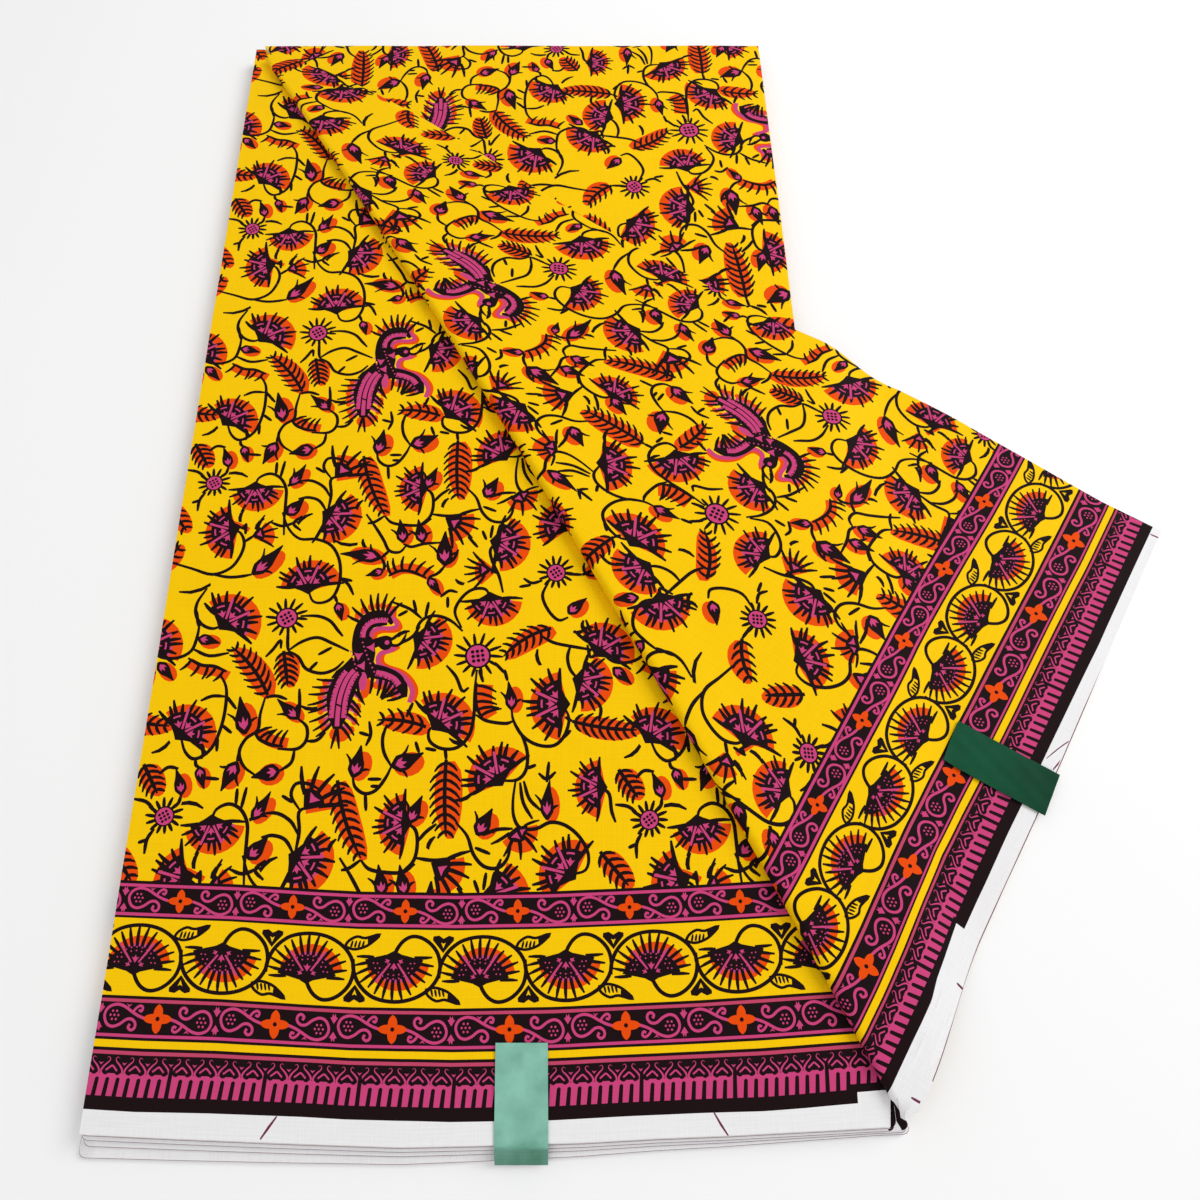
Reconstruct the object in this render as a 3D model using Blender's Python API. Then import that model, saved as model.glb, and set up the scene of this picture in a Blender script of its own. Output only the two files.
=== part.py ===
"""Folded length of wax print cloth lying flat, in metres, +Z up.

The cloth is folded in half across its width and then plaited along its length into a flat stack.
The near left half of the upper packet is turned over the diagonal of the stack, so that its
selvedge border runs up the right-hand side, past the stack's edge and down to the surface.
All shapes are worked out with the stack's near left corner at zero, and moved at the end so that
the origin is the centre of the bottom of the whole part's box."""

import math

import bmesh
import bpy
import numpy as np

CLOTH_WIDTH = 1.17
STACK_LENGTH = CLOTH_WIDTH / 2
STACK_WIDTH = 0.312
STACK_HEIGHT = 0.0085
LAYER_GAP = 0.0003
PANEL_WALL = 0.0012
PACKET_WALL = 0.0024

# The diagonal fold: centre-line radii of its roll in the middle and at its tips, and its bow
ROLL_RADIUS = 0.0024
TIP_ROLL_RADIUS = (PACKET_WALL + LAYER_GAP) / 2
ROLL_EASE = 0.030
FULL_ROLL_WIDTH = 0.180
ROLL_STUB = 0.0010
FOLD_BOW = 0.0088
FOLD_SHIFT = 0.0032
FLAP_SHORTFALL = 0.0025
FLAP_EDGE_BOW = 0.0020
TIP_WIDTH = 0.0080
UPPER_TIP_WIDTH = 0.0070

# The selvedges at the front bow forwards between their ends
FRONT_BOW = 0.0028

# The flap runs level to just past the stack and then comes down to the surface
DROP_START = 0.0090
DROP_LENGTH = 0.040

# Green label tapes, stuck down near each selvedge and turned over it
TAPE_WIDTH = 0.0205
TAPE_WALL = 0.0007
FRONT_TAPE_MIDDLE = 0.1683
FRONT_TAPE_REACH = 0.0315
FRONT_TAPE_BEND = 0.0016
FRONT_TAPE_BEND_STOP = math.radians(22)
FRONT_TAPE_LEAN = (
    {"forward": 0.0052, "height": 0.0062},
    {"forward": 0.0078, "height": 0.0026},
)
FLAP_TAPE_ALONG = 0.1562
FLAP_TAPE_REACH = 0.0445
FLAP_TAPE_OVER = 0.0030
FLAP_TAPE_SKEW = math.radians(-2.9)

# Hidden plaits from the bottom up: how far each stands out past the stack's sides
PLAITS = (
    {"left": 0.0026, "right": 0.0006, "front_left": 0.0096, "front_right": 0.0042},
    {"left": 0.0013, "right": 0.0002, "front_left": 0.0090, "front_right": 0.0036},
    {"left": 0.0022, "right": 0.0009, "front_left": 0.0060, "front_right": 0.0031},
    {"left": 0.0006, "right": 0.0001, "front_left": 0.0054, "front_right": 0.0027},
    {"left": 0.0016, "right": 0.0007, "front_left": 0.0030, "front_right": 0.0021},
    {"left": 0.0009, "right": 0.0003, "front_left": 0.0026, "front_right": 0.0016},
    {"left": 0.0012, "right": 0.0005, "front_left": 0.0012, "front_right": 0.0010},
    {"left": 0.0002, "right": 0.0002, "front_left": 0.0006, "front_right": 0.0006},
)
PLAIT_GROOVE = 0.0008
STACK_CORNER = 0.0025
CORNER_STEPS = 3
STACK_SIDE_STEPS = 12
STACK_END_STEPS = 8

# How far the flap's lower layer stands out past its upper one, from the near corner to the far one
UNDER_LAYER = (
    {"share": 0.00, "out": 0.0040},
    {"share": 0.15, "out": 0.0024},
    {"share": 0.35, "out": 0.0016},
    {"share": 0.55, "out": 0.0026},
    {"share": 0.75, "out": 0.0008},
    {"share": 1.00, "out": 0.0000},
)

# How far the flap's far edge lies out from a straight line, from the far corner to the fold's far tip
FAR_EDGE = (
    {"share": 0.00, "out": 0.0000},
    {"share": 0.05, "out": -0.0012},
    {"share": 0.10, "out": 0.0004},
    {"share": 0.15, "out": 0.0018},
    {"share": 0.20, "out": 0.0024},
    {"share": 0.25, "out": 0.0018},
    {"share": 0.30, "out": -0.0022},
    {"share": 0.35, "out": -0.0056},
    {"share": 0.42, "out": -0.0062},
    {"share": 0.50, "out": -0.0056},
    {"share": 0.57, "out": -0.0040},
    {"share": 0.65, "out": 0.0002},
    {"share": 0.73, "out": 0.0048},
    {"share": 0.80, "out": 0.0078},
    {"share": 0.87, "out": 0.0080},
    {"share": 0.94, "out": 0.0048},
    {"share": 1.00, "out": 0.0000},
)

# Rims as shares of the wall: how far out, how far up, and whether the row is of the lower layer
ROUND_RIM = (
    {"out": 0.35, "up": 0.35, "lower": 0.0},
    {"out": 0.50, "up": 0.00, "lower": 0.0},
    {"out": 0.35, "up": -0.35, "lower": 0.0},
)
LAYERED_RIM = (
    {"out": 0.20, "up": 0.40, "lower": 0.0},
    {"out": 0.25, "up": 0.24, "lower": 0.0},
    {"out": 0.16, "up": 0.07, "lower": 0.0},
    {"out": 0.02, "up": 0.00, "lower": 0.0},
    {"out": 0.16, "up": -0.07, "lower": 1.0},
    {"out": 0.25, "up": -0.24, "lower": 1.0},
    {"out": 0.20, "up": -0.40, "lower": 1.0},
)

PANEL_STEPS = (12, 20)
UPPER_STEPS = (8, 22)
FLAP_STATIONS = 36
ROLL_STEPS = 7
FLAP_STEPS = 19
RUN_SPREAD = 1.2
TAPE_STEPS = 4
LINE_STEPS = 200
FLAP_TAPE_STEPS = 10
SHARP_ANGLE = math.radians(50)
CLOTH_ROUGHNESS = 0.8

COLOURS = {
    "print_yellow": (1.0, 0.64, 0.0, 1.0),
    "cloth_edge": (0.80, 0.78, 0.76, 1.0),
    "tape_mint": (0.27, 0.58, 0.46, 1.0),
    "tape_green": (0.02, 0.13, 0.07, 1.0),
}

# Heights of the layers, worked out upwards from the surface
PANEL_FLOOR = STACK_HEIGHT + LAYER_GAP
PANEL_TOP = PANEL_FLOOR + PANEL_WALL
PACKET_FLOOR = PANEL_TOP + LAYER_GAP
PACKET_TOP = PACKET_FLOOR + PACKET_WALL
FLAP_MIDDLE = PACKET_TOP + LAYER_GAP + PACKET_WALL / 2
FLAP_LANDED = PACKET_WALL / 2

DIAGONAL = math.hypot(STACK_WIDTH, STACK_LENGTH)
ALONG = np.array([-STACK_WIDTH, STACK_LENGTH]) / DIAGONAL
ACROSS = np.array([STACK_LENGTH, STACK_WIDTH]) / DIAGONAL
NEAR_RIGHT = np.array([STACK_WIDTH, 0.0])
FLAP_DEPTH = STACK_WIDTH * STACK_LENGTH / DIAGONAL
APEX_AT = STACK_WIDTH**2 / DIAGONAL


def eased(share):
    """A smooth step from 0 to 1 as share goes from 0 to 1."""
    share = np.clip(share, 0.0, 1.0)
    return (1 - np.cos(np.pi * share)) / 2


def fold_bow(along):
    """How far the fold lies from the straight diagonal: a parabola, and a shift at the near end."""
    share = along / DIAGONAL
    return 4 * FOLD_BOW * share * (1 - share) + FOLD_SHIFT * (1 - share)


def diagonal_plan(along, across):
    """Plan points from distances along the diagonal from the near right corner, and across it."""
    return NEAR_RIGHT + along[..., None] * ALONG + across[..., None] * ACROSS


def front_bowed(plan):
    """Moves plan points forwards by a half sine over the width, most at the front."""
    rise = np.sin(np.pi * np.clip(plan[..., 0] / STACK_WIDTH, 0, 1))
    nearness = 1 - np.clip(plan[..., 1] / STACK_LENGTH, 0, 1)
    moved = plan.copy()
    moved[..., 1] -= FRONT_BOW * rise * nearness
    return moved


def flap_width(along):
    """How far the flap reaches from the straight diagonal, rising to its far corner and back."""
    near = along / APEX_AT
    far = (DIAGONAL - along) / (DIAGONAL - APEX_AT)
    bowed = FLAP_EDGE_BOW * np.sin(np.pi * np.clip(near, 0, 1))
    far_out = np.interp(1 - far, *([row[key] for row in FAR_EDGE] for key in ("share", "out")))
    return np.minimum(near, far) * (FLAP_DEPTH - FLAP_SHORTFALL) + bowed + far_out


def roll_radius(along):
    """The roll is flat at both tips of the fold and full where the flap is wide."""
    fullness = eased(flap_width(along) / FULL_ROLL_WIDTH)
    return TIP_ROLL_RADIUS + (ROLL_RADIUS - TIP_ROLL_RADIUS) * fullness


def flap_height(plan, past_roll, radius):
    """Height of the flap's middle layer: level on the stack, down past its edge, up at the roll."""
    dropped = eased((plan[..., 0] - STACK_WIDTH - DROP_START) / DROP_LENGTH)
    lift = PACKET_FLOOR + PACKET_WALL / 2 + 2 * radius - FLAP_MIDDLE
    level = FLAP_MIDDLE + (FLAP_LANDED - FLAP_MIDDLE) * dropped
    return level + lift * (1 - eased(past_roll / ROLL_EASE)) * (1 - dropped)


def unit(vectors):
    return vectors / np.linalg.norm(vectors, axis=-1, keepdims=True)


def border_of(rows, columns):
    """Grid places of a grid's border, once round."""
    near = [(0, j) for j in range(columns)]
    right = [(i, columns - 1) for i in range(1, rows)]
    far = [(rows - 1, j) for j in range(columns - 2, -1, -1)]
    left = [(i, 0) for i in range(rows - 2, 0, -1)]
    return np.array(near + right + far + left)


def mesh_object(name, points, faces, colour):
    """A closed mesh object with its faces turned outwards and its own material."""
    mesh = bpy.data.meshes.new(name)
    mesh.from_pydata(points.tolist(), [], faces)
    work = bmesh.new()
    work.from_mesh(mesh)
    bmesh.ops.recalc_face_normals(work, faces=work.faces)
    work.to_mesh(mesh)
    work.free()
    mesh.shade_smooth()
    mesh.set_sharp_from_angle(angle=SHARP_ANGLE)
    material = bpy.data.materials.new(name)
    material.use_nodes = True
    shader = material.node_tree.nodes["Principled BSDF"]
    shader.inputs["Base Color"].default_value = COLOURS[colour]
    shader.inputs["Roughness"].default_value = CLOTH_ROUGHNESS
    mesh.materials.append(material)
    made = bpy.data.objects.new(name, mesh)
    bpy.context.scene.collection.objects.link(made)
    return made


def wall_from_grid(middle, wall, rim, lower_out=None):
    """Points and faces of a closed wall about a grid of middle points, with a rim of its own.

    The grid is moved half the wall to each side along its normals. Each row of the rim goes once
    round the border, out in the cloth's own plane. lower_out adds to the rows of the lower layer."""
    rows, columns = middle.shape[:2]
    down = np.gradient(middle, axis=0)
    across = np.gradient(middle, axis=1)
    normals = unit(np.cross(across, down))
    upper = middle + normals * wall / 2
    lower = middle - normals * wall / 2
    border = border_of(rows, columns)
    ring = middle[border[:, 0], border[:, 1]]
    ring_normals = normals[border[:, 0], border[:, 1]]
    tangents = unit(np.roll(ring, -1, axis=0) - np.roll(ring, 1, axis=0))
    outwards = unit(np.cross(tangents, ring_normals))
    more = np.zeros(len(border)) if lower_out is None else lower_out[border[:, 0], border[:, 1]]
    rings = []
    for row in rim:
        out = row["out"] * wall + row["lower"] * more
        rings.append(ring + outwards * out[:, None] + ring_normals * row["up"] * wall)
    points = np.concatenate([upper.reshape(-1, 3), lower.reshape(-1, 3), *rings])
    index = np.arange(rows * columns).reshape(rows, columns)
    faces = grid_faces(index) + grid_faces(index + rows * columns)
    first = index[border[:, 0], border[:, 1]]
    loops = [first]
    loops += [2 * rows * columns + k * len(border) + np.arange(len(border)) for k in range(len(rim))]
    loops.append(first + rows * columns)
    return points, faces + ring_faces(loops)


def grid_faces(index):
    """Quads between neighbouring places of a grid of point numbers."""
    corners = (index[:-1, :-1], index[:-1, 1:], index[1:, 1:], index[1:, :-1])
    return np.stack([c.reshape(-1) for c in corners], axis=1).tolist()


def ring_faces(loops):
    """Quads between each closed loop of point numbers and the next."""
    faces = []
    for above, below in zip(loops[:-1], loops[1:]):
        corners = (above, np.roll(above, -1), np.roll(below, -1), below)
        faces += np.stack(corners, axis=1).tolist()
    return faces


def rounded_outline(left, right, near_left, near_right, far):
    """A four-sided plan outline with round corners. The near side may run aslant."""
    corners = (
        {"at": (left, near_left), "turn": math.pi, "steps": STACK_END_STEPS},
        {"at": (right, near_right), "turn": 1.5 * math.pi, "steps": STACK_SIDE_STEPS},
        {"at": (right, far), "turn": 0.0, "steps": STACK_END_STEPS},
        {"at": (left, far), "turn": 0.5 * math.pi, "steps": STACK_SIDE_STEPS},
    )
    inwards = np.array([(1, 1), (-1, 1), (-1, -1), (1, -1)])
    arcs = []
    for corner, way in zip(corners, inwards):
        angles = corner["turn"] + np.linspace(0, math.pi / 2, CORNER_STEPS + 1)
        centre = np.array(corner["at"]) + way * STACK_CORNER
        arcs.append(centre + STACK_CORNER * np.stack([np.cos(angles), np.sin(angles)], axis=1))
    outline = []
    for k, corner in enumerate(corners):
        shares = np.linspace(0, 1, corner["steps"] + 1)[1:-1, None]
        start = arcs[k][-1]
        end = arcs[(k + 1) % 4][0]
        outline += [arcs[k], start + (end - start) * shares]
    return front_bowed(np.concatenate(outline))


def stack_ring(height, plait, groove):
    """One ring of the stack's side: a plait's outline at a height, drawn in by a groove.

    The far end is where the cloth is folded in half, so it is a half circle over the height."""
    half = STACK_HEIGHT / 2
    fold = math.sqrt(max(half**2 - (height - half) ** 2, 0.0)) - half
    outline = rounded_outline(
        -plait["left"] + groove,
        STACK_WIDTH + plait["right"] - groove,
        -plait["front_left"] + groove,
        -plait["front_right"] + groove,
        STACK_LENGTH + fold - groove / 2,
    )
    return np.column_stack([outline, np.full(len(outline), height)])


def folded_stack():
    """The hidden plaits as one solid, with a round lobe for each along the sides."""
    thick = STACK_HEIGHT / len(PLAITS)
    rings = [stack_ring(0.0, PLAITS[0], PLAIT_GROOVE)]
    for k, plait in enumerate(PLAITS):
        rings.append(stack_ring((k + 0.25) * thick, plait, 0.0))
        rings.append(stack_ring((k + 0.75) * thick, plait, 0.0))
        above = PLAITS[min(k + 1, len(PLAITS) - 1)]
        waist = {side: min(plait[side], above[side]) for side in plait}
        rings.append(stack_ring((k + 1) * thick, waist, PLAIT_GROOVE))
    count = len(rings[0])
    loops = [k * count + np.arange(count) for k in range(len(rings))]
    faces = ring_faces(loops) + [loops[0].tolist(), loops[-1].tolist()]
    return np.concatenate(rings), faces


def lower_panel():
    """The top plait of the stack, which shows left of the fold with its border along the front."""
    inset = PANEL_WALL / 2
    x = np.linspace(inset, STACK_WIDTH - inset, PANEL_STEPS[0] + 1)
    y = np.linspace(inset, STACK_LENGTH - inset, PANEL_STEPS[1] + 1)
    plan = front_bowed(np.stack(np.meshgrid(x, y), axis=-1))
    height = np.full(plan.shape[:2] + (1,), PANEL_FLOOR + PANEL_WALL / 2)
    return wall_from_grid(np.concatenate([plan, height], axis=2), PANEL_WALL, ROUND_RIM)


def upper_panel():
    """The packet that lies right of the fold, from the roll's stub to the stack's right side."""
    inset = LAYERED_RIM[1]["out"] * PACKET_WALL
    along = np.linspace(0.0, DIAGONAL, LINE_STEPS)
    clear = roll_radius(along) + PACKET_WALL / 2 + ROLL_STUB + PACKET_WALL / 4 + LAYER_GAP + inset
    left_edge = diagonal_plan(along, fold_bow(along) + clear)
    right = STACK_WIDTH - inset
    far = STACK_LENGTH - inset
    widths = right - left_edge[:, 0]
    start = np.interp(UPPER_TIP_WIDTH, widths, left_edge[:, 1])
    y = np.linspace(start, far, UPPER_STEPS[1] + 1)
    left = np.interp(y, left_edge[:, 1], left_edge[:, 0])
    shares = np.linspace(0, 1, UPPER_STEPS[0] + 1)
    x = left[:, None] + (right - left)[:, None] * shares
    plan = np.stack([x, np.repeat(y[:, None], len(shares), axis=1)], axis=-1)
    height = np.full(plan.shape[:2] + (1,), PACKET_FLOOR + PACKET_WALL / 2)
    return wall_from_grid(np.concatenate([plan, height], axis=2), PACKET_WALL, LAYERED_RIM)


def flap_stations():
    """Distances along the diagonal, tip to tip, with one at the flap's far corner."""
    near_tip = APEX_AT * TIP_WIDTH / FLAP_DEPTH
    far_tip = DIAGONAL - (DIAGONAL - APEX_AT) * TIP_WIDTH / FLAP_DEPTH
    near_count = round(FLAP_STATIONS * APEX_AT / DIAGONAL)
    near = np.linspace(near_tip, APEX_AT, near_count + 1)
    far = np.linspace(APEX_AT, far_tip, FLAP_STATIONS - near_count + 1)
    return np.concatenate([near, far[1:]]), near_count


def flap_middle():
    """The flap's middle points, with each row's distance along the diagonal and across it.

    Each row is a stub under the fold, a half-circle roll, and the run out to the flap's edge."""
    along, apex_row = flap_stations()
    radius = roll_radius(along)
    bow = fold_bow(along)
    edge = flap_width(along) - LAYERED_RIM[1]["out"] * PACKET_WALL - bow
    seat = PACKET_FLOOR + PACKET_WALL / 2
    reach = radius + PACKET_WALL / 2
    turns = np.linspace(-math.pi / 2, math.pi / 2, ROLL_STEPS + 1)
    roll_across = reach[:, None] - np.outer(radius, np.cos(turns))
    shares = np.linspace(0, 1, FLAP_STEPS + 1)[1:] ** RUN_SPREAD
    run = reach[:, None] + np.maximum(edge - reach, PANEL_WALL)[:, None] * shares
    across = np.concatenate([(reach + ROLL_STUB)[:, None], roll_across, run], axis=1)
    places = np.repeat(along[:, None], across.shape[1], axis=1)
    plan = diagonal_plan(places, across + bow[:, None])
    height = flap_height(plan, across - reach[:, None], radius[:, None])
    height[:, 0] = seat
    height[:, 1 : ROLL_STEPS + 2] = seat + radius[:, None] * (1 + np.sin(turns))
    middle = np.concatenate([plan, height[..., None]], axis=2)
    return middle, along, across + bow[:, None], apex_row


def turned_flap():
    """The turned-over half of the upper packet, in two layers that part along the selvedge."""
    middle, along, _, apex_row = flap_middle()
    shares = along[: apex_row + 1] / along[apex_row]
    table = {key: [row[key] for row in UNDER_LAYER] for key in ("share", "out")}
    lower_out = np.zeros(middle.shape[:2])
    lower_out[: apex_row + 1, -1] = np.interp(shares, table["share"], table["out"])
    return wall_from_grid(middle, PACKET_WALL, LAYERED_RIM, lower_out)


def height_on_flap(plan):
    """Heights of the flap's middle at plan points, between the rows of its own points."""
    middle, rows_along, rows_across, _ = flap_middle()
    run = slice(ROLL_STEPS + 1, None)
    heights = np.empty(plan.shape[:2])
    for place in np.ndindex(*heights.shape):
        along = (plan[place] - NEAR_RIGHT) @ ALONG
        across = (plan[place] - NEAR_RIGHT) @ ACROSS
        row = int(np.searchsorted(rows_along, along)) - 1
        share = (along - rows_along[row]) / (rows_along[row + 1] - rows_along[row])
        ends = [np.interp(across, rows_across[k, run], middle[k, run, 2]) for k in (row, row + 1)]
        heights[place] = ends[0] * (1 - share) + ends[1] * share
    return heights


def front_tape():
    """Lies on the lower panel's border, then leans down in front of the layered selvedges."""
    top = PANEL_TOP + LAYER_GAP + TAPE_WALL / 2
    turns = np.linspace(math.pi / 2, FRONT_TAPE_BEND_STOP, TAPE_STEPS + 1)
    arc = FRONT_TAPE_BEND * np.column_stack([-np.cos(turns), np.sin(turns) - 1]) + (0.0, top)
    flat = [(FRONT_TAPE_REACH, top), (FRONT_TAPE_REACH / 2, top)]
    lean = [(-row["forward"], row["height"]) for row in FRONT_TAPE_LEAN]
    profile = np.concatenate([flat, arc, lean])
    path = np.column_stack([np.full(len(profile), FRONT_TAPE_MIDDLE), profile])
    path[:, :2] = front_bowed(path[:, :2])
    sideways = np.linspace(-TAPE_WIDTH / 2, TAPE_WIDTH / 2, TAPE_STEPS + 1)
    grid = path[:, None, :] + sideways[None, :, None] * np.array([1.0, 0.0, 0.0])
    return wall_from_grid(grid, TAPE_WALL, ROUND_RIM)


def flap_tape():
    """Lies across the flap's border, made from the flap's own surface and just over its edge."""
    corner = diagonal_plan(np.array(APEX_AT), np.array(FLAP_DEPTH - FLAP_SHORTFALL))
    edge_way = unit(corner - NEAR_RIGHT)
    inward = np.array([-edge_way[1], edge_way[0]])
    inward = inward * math.cos(FLAP_TAPE_SKEW) + edge_way * math.sin(FLAP_TAPE_SKEW)
    side = np.array([inward[1], -inward[0]])
    start = NEAR_RIGHT + edge_way * FLAP_TAPE_ALONG
    places = np.linspace(FLAP_TAPE_REACH, -FLAP_TAPE_OVER, FLAP_TAPE_STEPS + 1)
    sideways = np.linspace(-TAPE_WIDTH / 2, TAPE_WIDTH / 2, TAPE_STEPS + 1)
    plan = start + places[:, None, None] * inward + sideways[None, :, None] * side
    raised = PACKET_WALL / 2 + 2 * LAYER_GAP + TAPE_WALL / 2
    height = height_on_flap(plan) + raised
    return wall_from_grid(np.concatenate([plan, height[..., None]], axis=2), TAPE_WALL, ROUND_RIM)


PIECES = (
    {"name": "folded_stack", "shape": folded_stack, "colour": "cloth_edge"},
    {"name": "lower_panel", "shape": lower_panel, "colour": "print_yellow"},
    {"name": "upper_panel", "shape": upper_panel, "colour": "print_yellow"},
    {"name": "turned_flap", "shape": turned_flap, "colour": "print_yellow"},
    {"name": "front_tape", "shape": front_tape, "colour": "tape_mint"},
    {"name": "flap_tape", "shape": flap_tape, "colour": "tape_green"},
)


def main():
    for old in list(bpy.data.objects):
        bpy.data.objects.remove(old, do_unlink=True)
    shapes = [piece["shape"]() for piece in PIECES]
    everything = np.concatenate([points for points, _ in shapes])
    low = everything.min(axis=0)
    high = everything.max(axis=0)
    origin = np.array([(low[0] + high[0]) / 2, (low[1] + high[1]) / 2, low[2]])
    for piece, (points, faces) in zip(PIECES, shapes):
        mesh_object(piece["name"], points - origin, faces, piece["colour"])


main()
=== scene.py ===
import math
import bpy
import numpy as np
from mathutils import Euler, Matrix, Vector
from mathutils.geometry import delaunay_2d_cdt


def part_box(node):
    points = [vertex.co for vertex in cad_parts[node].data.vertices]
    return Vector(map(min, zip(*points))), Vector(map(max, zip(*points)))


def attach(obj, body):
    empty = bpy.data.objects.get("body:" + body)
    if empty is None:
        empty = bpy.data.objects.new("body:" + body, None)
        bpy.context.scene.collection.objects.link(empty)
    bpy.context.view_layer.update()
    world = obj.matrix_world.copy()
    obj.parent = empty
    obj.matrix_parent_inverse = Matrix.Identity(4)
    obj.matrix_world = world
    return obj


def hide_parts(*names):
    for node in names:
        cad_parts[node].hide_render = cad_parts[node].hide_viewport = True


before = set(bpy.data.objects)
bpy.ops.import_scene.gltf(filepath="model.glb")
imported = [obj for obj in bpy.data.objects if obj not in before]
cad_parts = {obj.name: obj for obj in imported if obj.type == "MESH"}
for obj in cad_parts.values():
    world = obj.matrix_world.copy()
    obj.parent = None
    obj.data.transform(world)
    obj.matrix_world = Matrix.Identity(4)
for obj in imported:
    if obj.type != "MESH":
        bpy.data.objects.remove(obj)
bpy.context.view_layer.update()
print("frame loaded")

# The fold's own sizes, in metres from the stack's near left corner
fold = {"width": 0.312, "length": 0.585, "gap": 0.0003, "stackHeight": 0.0085, "panelWall": 0.0012,
    "packetWall": 0.0024, "rollRadius": 0.0024, "rollEase": 0.03, "fullRoll": 0.18, "stub": 0.001, "bow": 0.0088,
    "shift": 0.0032, "short": 0.0025, "edgeBow": 0.002, "dropStart": 0.009, "dropLength": 0.04,
    "frontEdge": [(0.0, -0.0001), (0.037, 0.0014), (0.076, 0.0028), (0.122, 0.0042), (0.155, 0.0036),
        (0.191, 0.0027), (0.22, 0.0013), (0.247, 0.0004), (0.28, -0.0011), (0.312, -0.0026)],
    "farEdge": [(0.0, 0.0), (0.05, -0.0012), (0.1, 0.0004), (0.15, 0.0018), (0.2, 0.0024), (0.25, 0.0018),
        (0.3, -0.0022), (0.35, -0.0056), (0.42, -0.0062), (0.5, -0.0056), (0.57, -0.004), (0.65, 0.0002),
        (0.73, 0.0048), (0.8, 0.0078), (0.87, 0.008), (0.94, 0.0048), (1.0, 0.0)]}
# The camera: its eye from the same corner, its tilt, and its focal length and side shift in pixels of the frame
view = {"eye": (0.1739, 0.0711, 0.392), "pitch": 1.2034, "focal": 870.34, "sideways": 64.07, "frame": 1200,
        "sensor": 36.0}
panelLow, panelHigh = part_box("lower_panel")
corner = np.array([panelLow[0], panelHigh[1] - fold["length"], 0.0])
panelTop = fold["stackHeight"] + fold["gap"] + fold["panelWall"]
packetFloor = panelTop + fold["gap"]
packetTop = packetFloor + fold["packetWall"]
halfWall = fold["packetWall"] / 2
flapMiddle = packetTop + fold["gap"] + halfWall
diagonal = math.hypot(fold["width"], fold["length"])
alongWay = np.array([-fold["width"], fold["length"]]) / diagonal
acrossWay = np.array([fold["length"], fold["width"]]) / diagonal
nearRight = np.array([fold["width"], 0.0])
apexAt = fold["width"] ** 2 / diagonal
flapDepth = fold["width"] * fold["length"] / diagonal - fold["short"]
flapCorner = nearRight + apexAt * alongWay + flapDepth * acrossWay
edgeWay = (flapCorner - nearRight) / np.linalg.norm(flapCorner - nearRight)
inwardWay = np.array([-edgeWay[1], edgeWay[0]])

# Inks of the print, by number; each is a colour of the attribute that the cloth's material reads. Plum is both
# printed marks and painted shade: thin lines along the edges of the under layers and of the stack's pads
inks = {"yellow": (0.92, 0.56, 0.0), "orange": (0.8, 0.07, 0.001), "magenta": (0.58, 0.054, 0.19),
    "black": (0.01, 0.003, 0.004), "white": (0.83, 0.82, 0.83), "brick": (0.52, 0.058, 0.13),
    "plum": (0.16, 0.03, 0.07)}
inkNumber = {name: k for k, name in enumerate(inks)}


# Eased step: (1 - cos) / 2 of the share, held to 0 and 1
def eased(share):
    return (1 - np.cos(np.pi * np.clip(share, 0, 1))) / 2


# A value on the straight lines between a table's (place, value) pairs
def readOff(table, at):
    return np.interp(at, *np.transpose(table))


# The print is drawn in millimetres. Every shape is (layer, ink, ring of points); higher layers cover lower ones

# Catmull-Rom: each stretch is a cubic whose end slopes are half the chord between its neighbours
def smoothPath(points, steps=5):
    p = np.asarray(points, float)
    ext = np.vstack([2 * p[0] - p[1], p, 2 * p[-1] - p[-2]])
    a, b, c, d = (ext[k:len(p) - 1 + k, None, :] for k in range(4))
    t = np.linspace(0, 1, steps, endpoint=False)[None, :, None]
    run = 0.5 * (2 * b + (c - a) * t + (2 * a - 5 * b + 4 * c - d) * t ** 2 + (3 * b - a - 3 * c + d) * t ** 3)
    return np.vstack([run.reshape(-1, 2), p[-1]])


# Unit steps along a path, and the same turned a quarter round to its left
def waysOf(path):
    way = np.gradient(path, axis=0)
    way /= np.linalg.norm(way, axis=1, keepdims=True) + 1e-9
    return way, np.stack([-way[:, 1], way[:, 0]], 1)


# A ring that goes out along one side of a path and back along the other
def bothSides(path, out):
    return np.vstack([path + out, (path - out)[::-1]])


# Both sides of a path, half the width away, narrowing over a quarter of it to the shares given at its ends
def stroke(path, width, ends=(1, 1)):
    path = np.asarray(path, float)
    along = np.linspace(0, 1, len(path))
    share = np.minimum(ends[0] + (1 - ends[0]) * along * 4, ends[1] + (1 - ends[1]) * (1 - along) * 4).clip(0, 1)
    return bothSides(path, waysOf(path)[1] * (width / 2 * share)[:, None])


# A spike: a stroke that bends by a share of its length and runs out to a point
def spike(start, end, width, bend=0.0):
    start, end = np.asarray(start, float), np.asarray(end, float)
    t = np.array([0, 0.3, 0.65, 1.0])[:, None]
    side = np.array([-(end - start)[1], (end - start)[0]])
    path = start + (end - start) * t + side * bend * (4 * t * (1 - t))
    half = width / 2 * np.array([0.85, 1.0, 0.92, 0.50])[:, None]
    return bothSides(path, side / (np.linalg.norm(side) + 1e-9) * half)


# A point at a distance and an angle in degrees, turned clockwise from straight up
def polar(distance, angle):
    a = np.radians(np.asarray(angle, float))
    return np.stack([distance * np.sin(a), distance * np.cos(a)], -1)


# A circle or ellipse of count points
def dot(at, radius, count=12, tall=1.0):
    turn = np.linspace(0, 2 * np.pi, count, endpoint=False)
    return np.asarray(at, float) + radius * np.stack([np.cos(turn), tall * np.sin(turn)], 1)


# A strip along a path, between two distances to its side
def strip(path, low, high):
    side = waysOf(np.asarray(path, float))[1]
    return np.vstack([path + side * low, (path + side * high)[::-1]])


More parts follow.
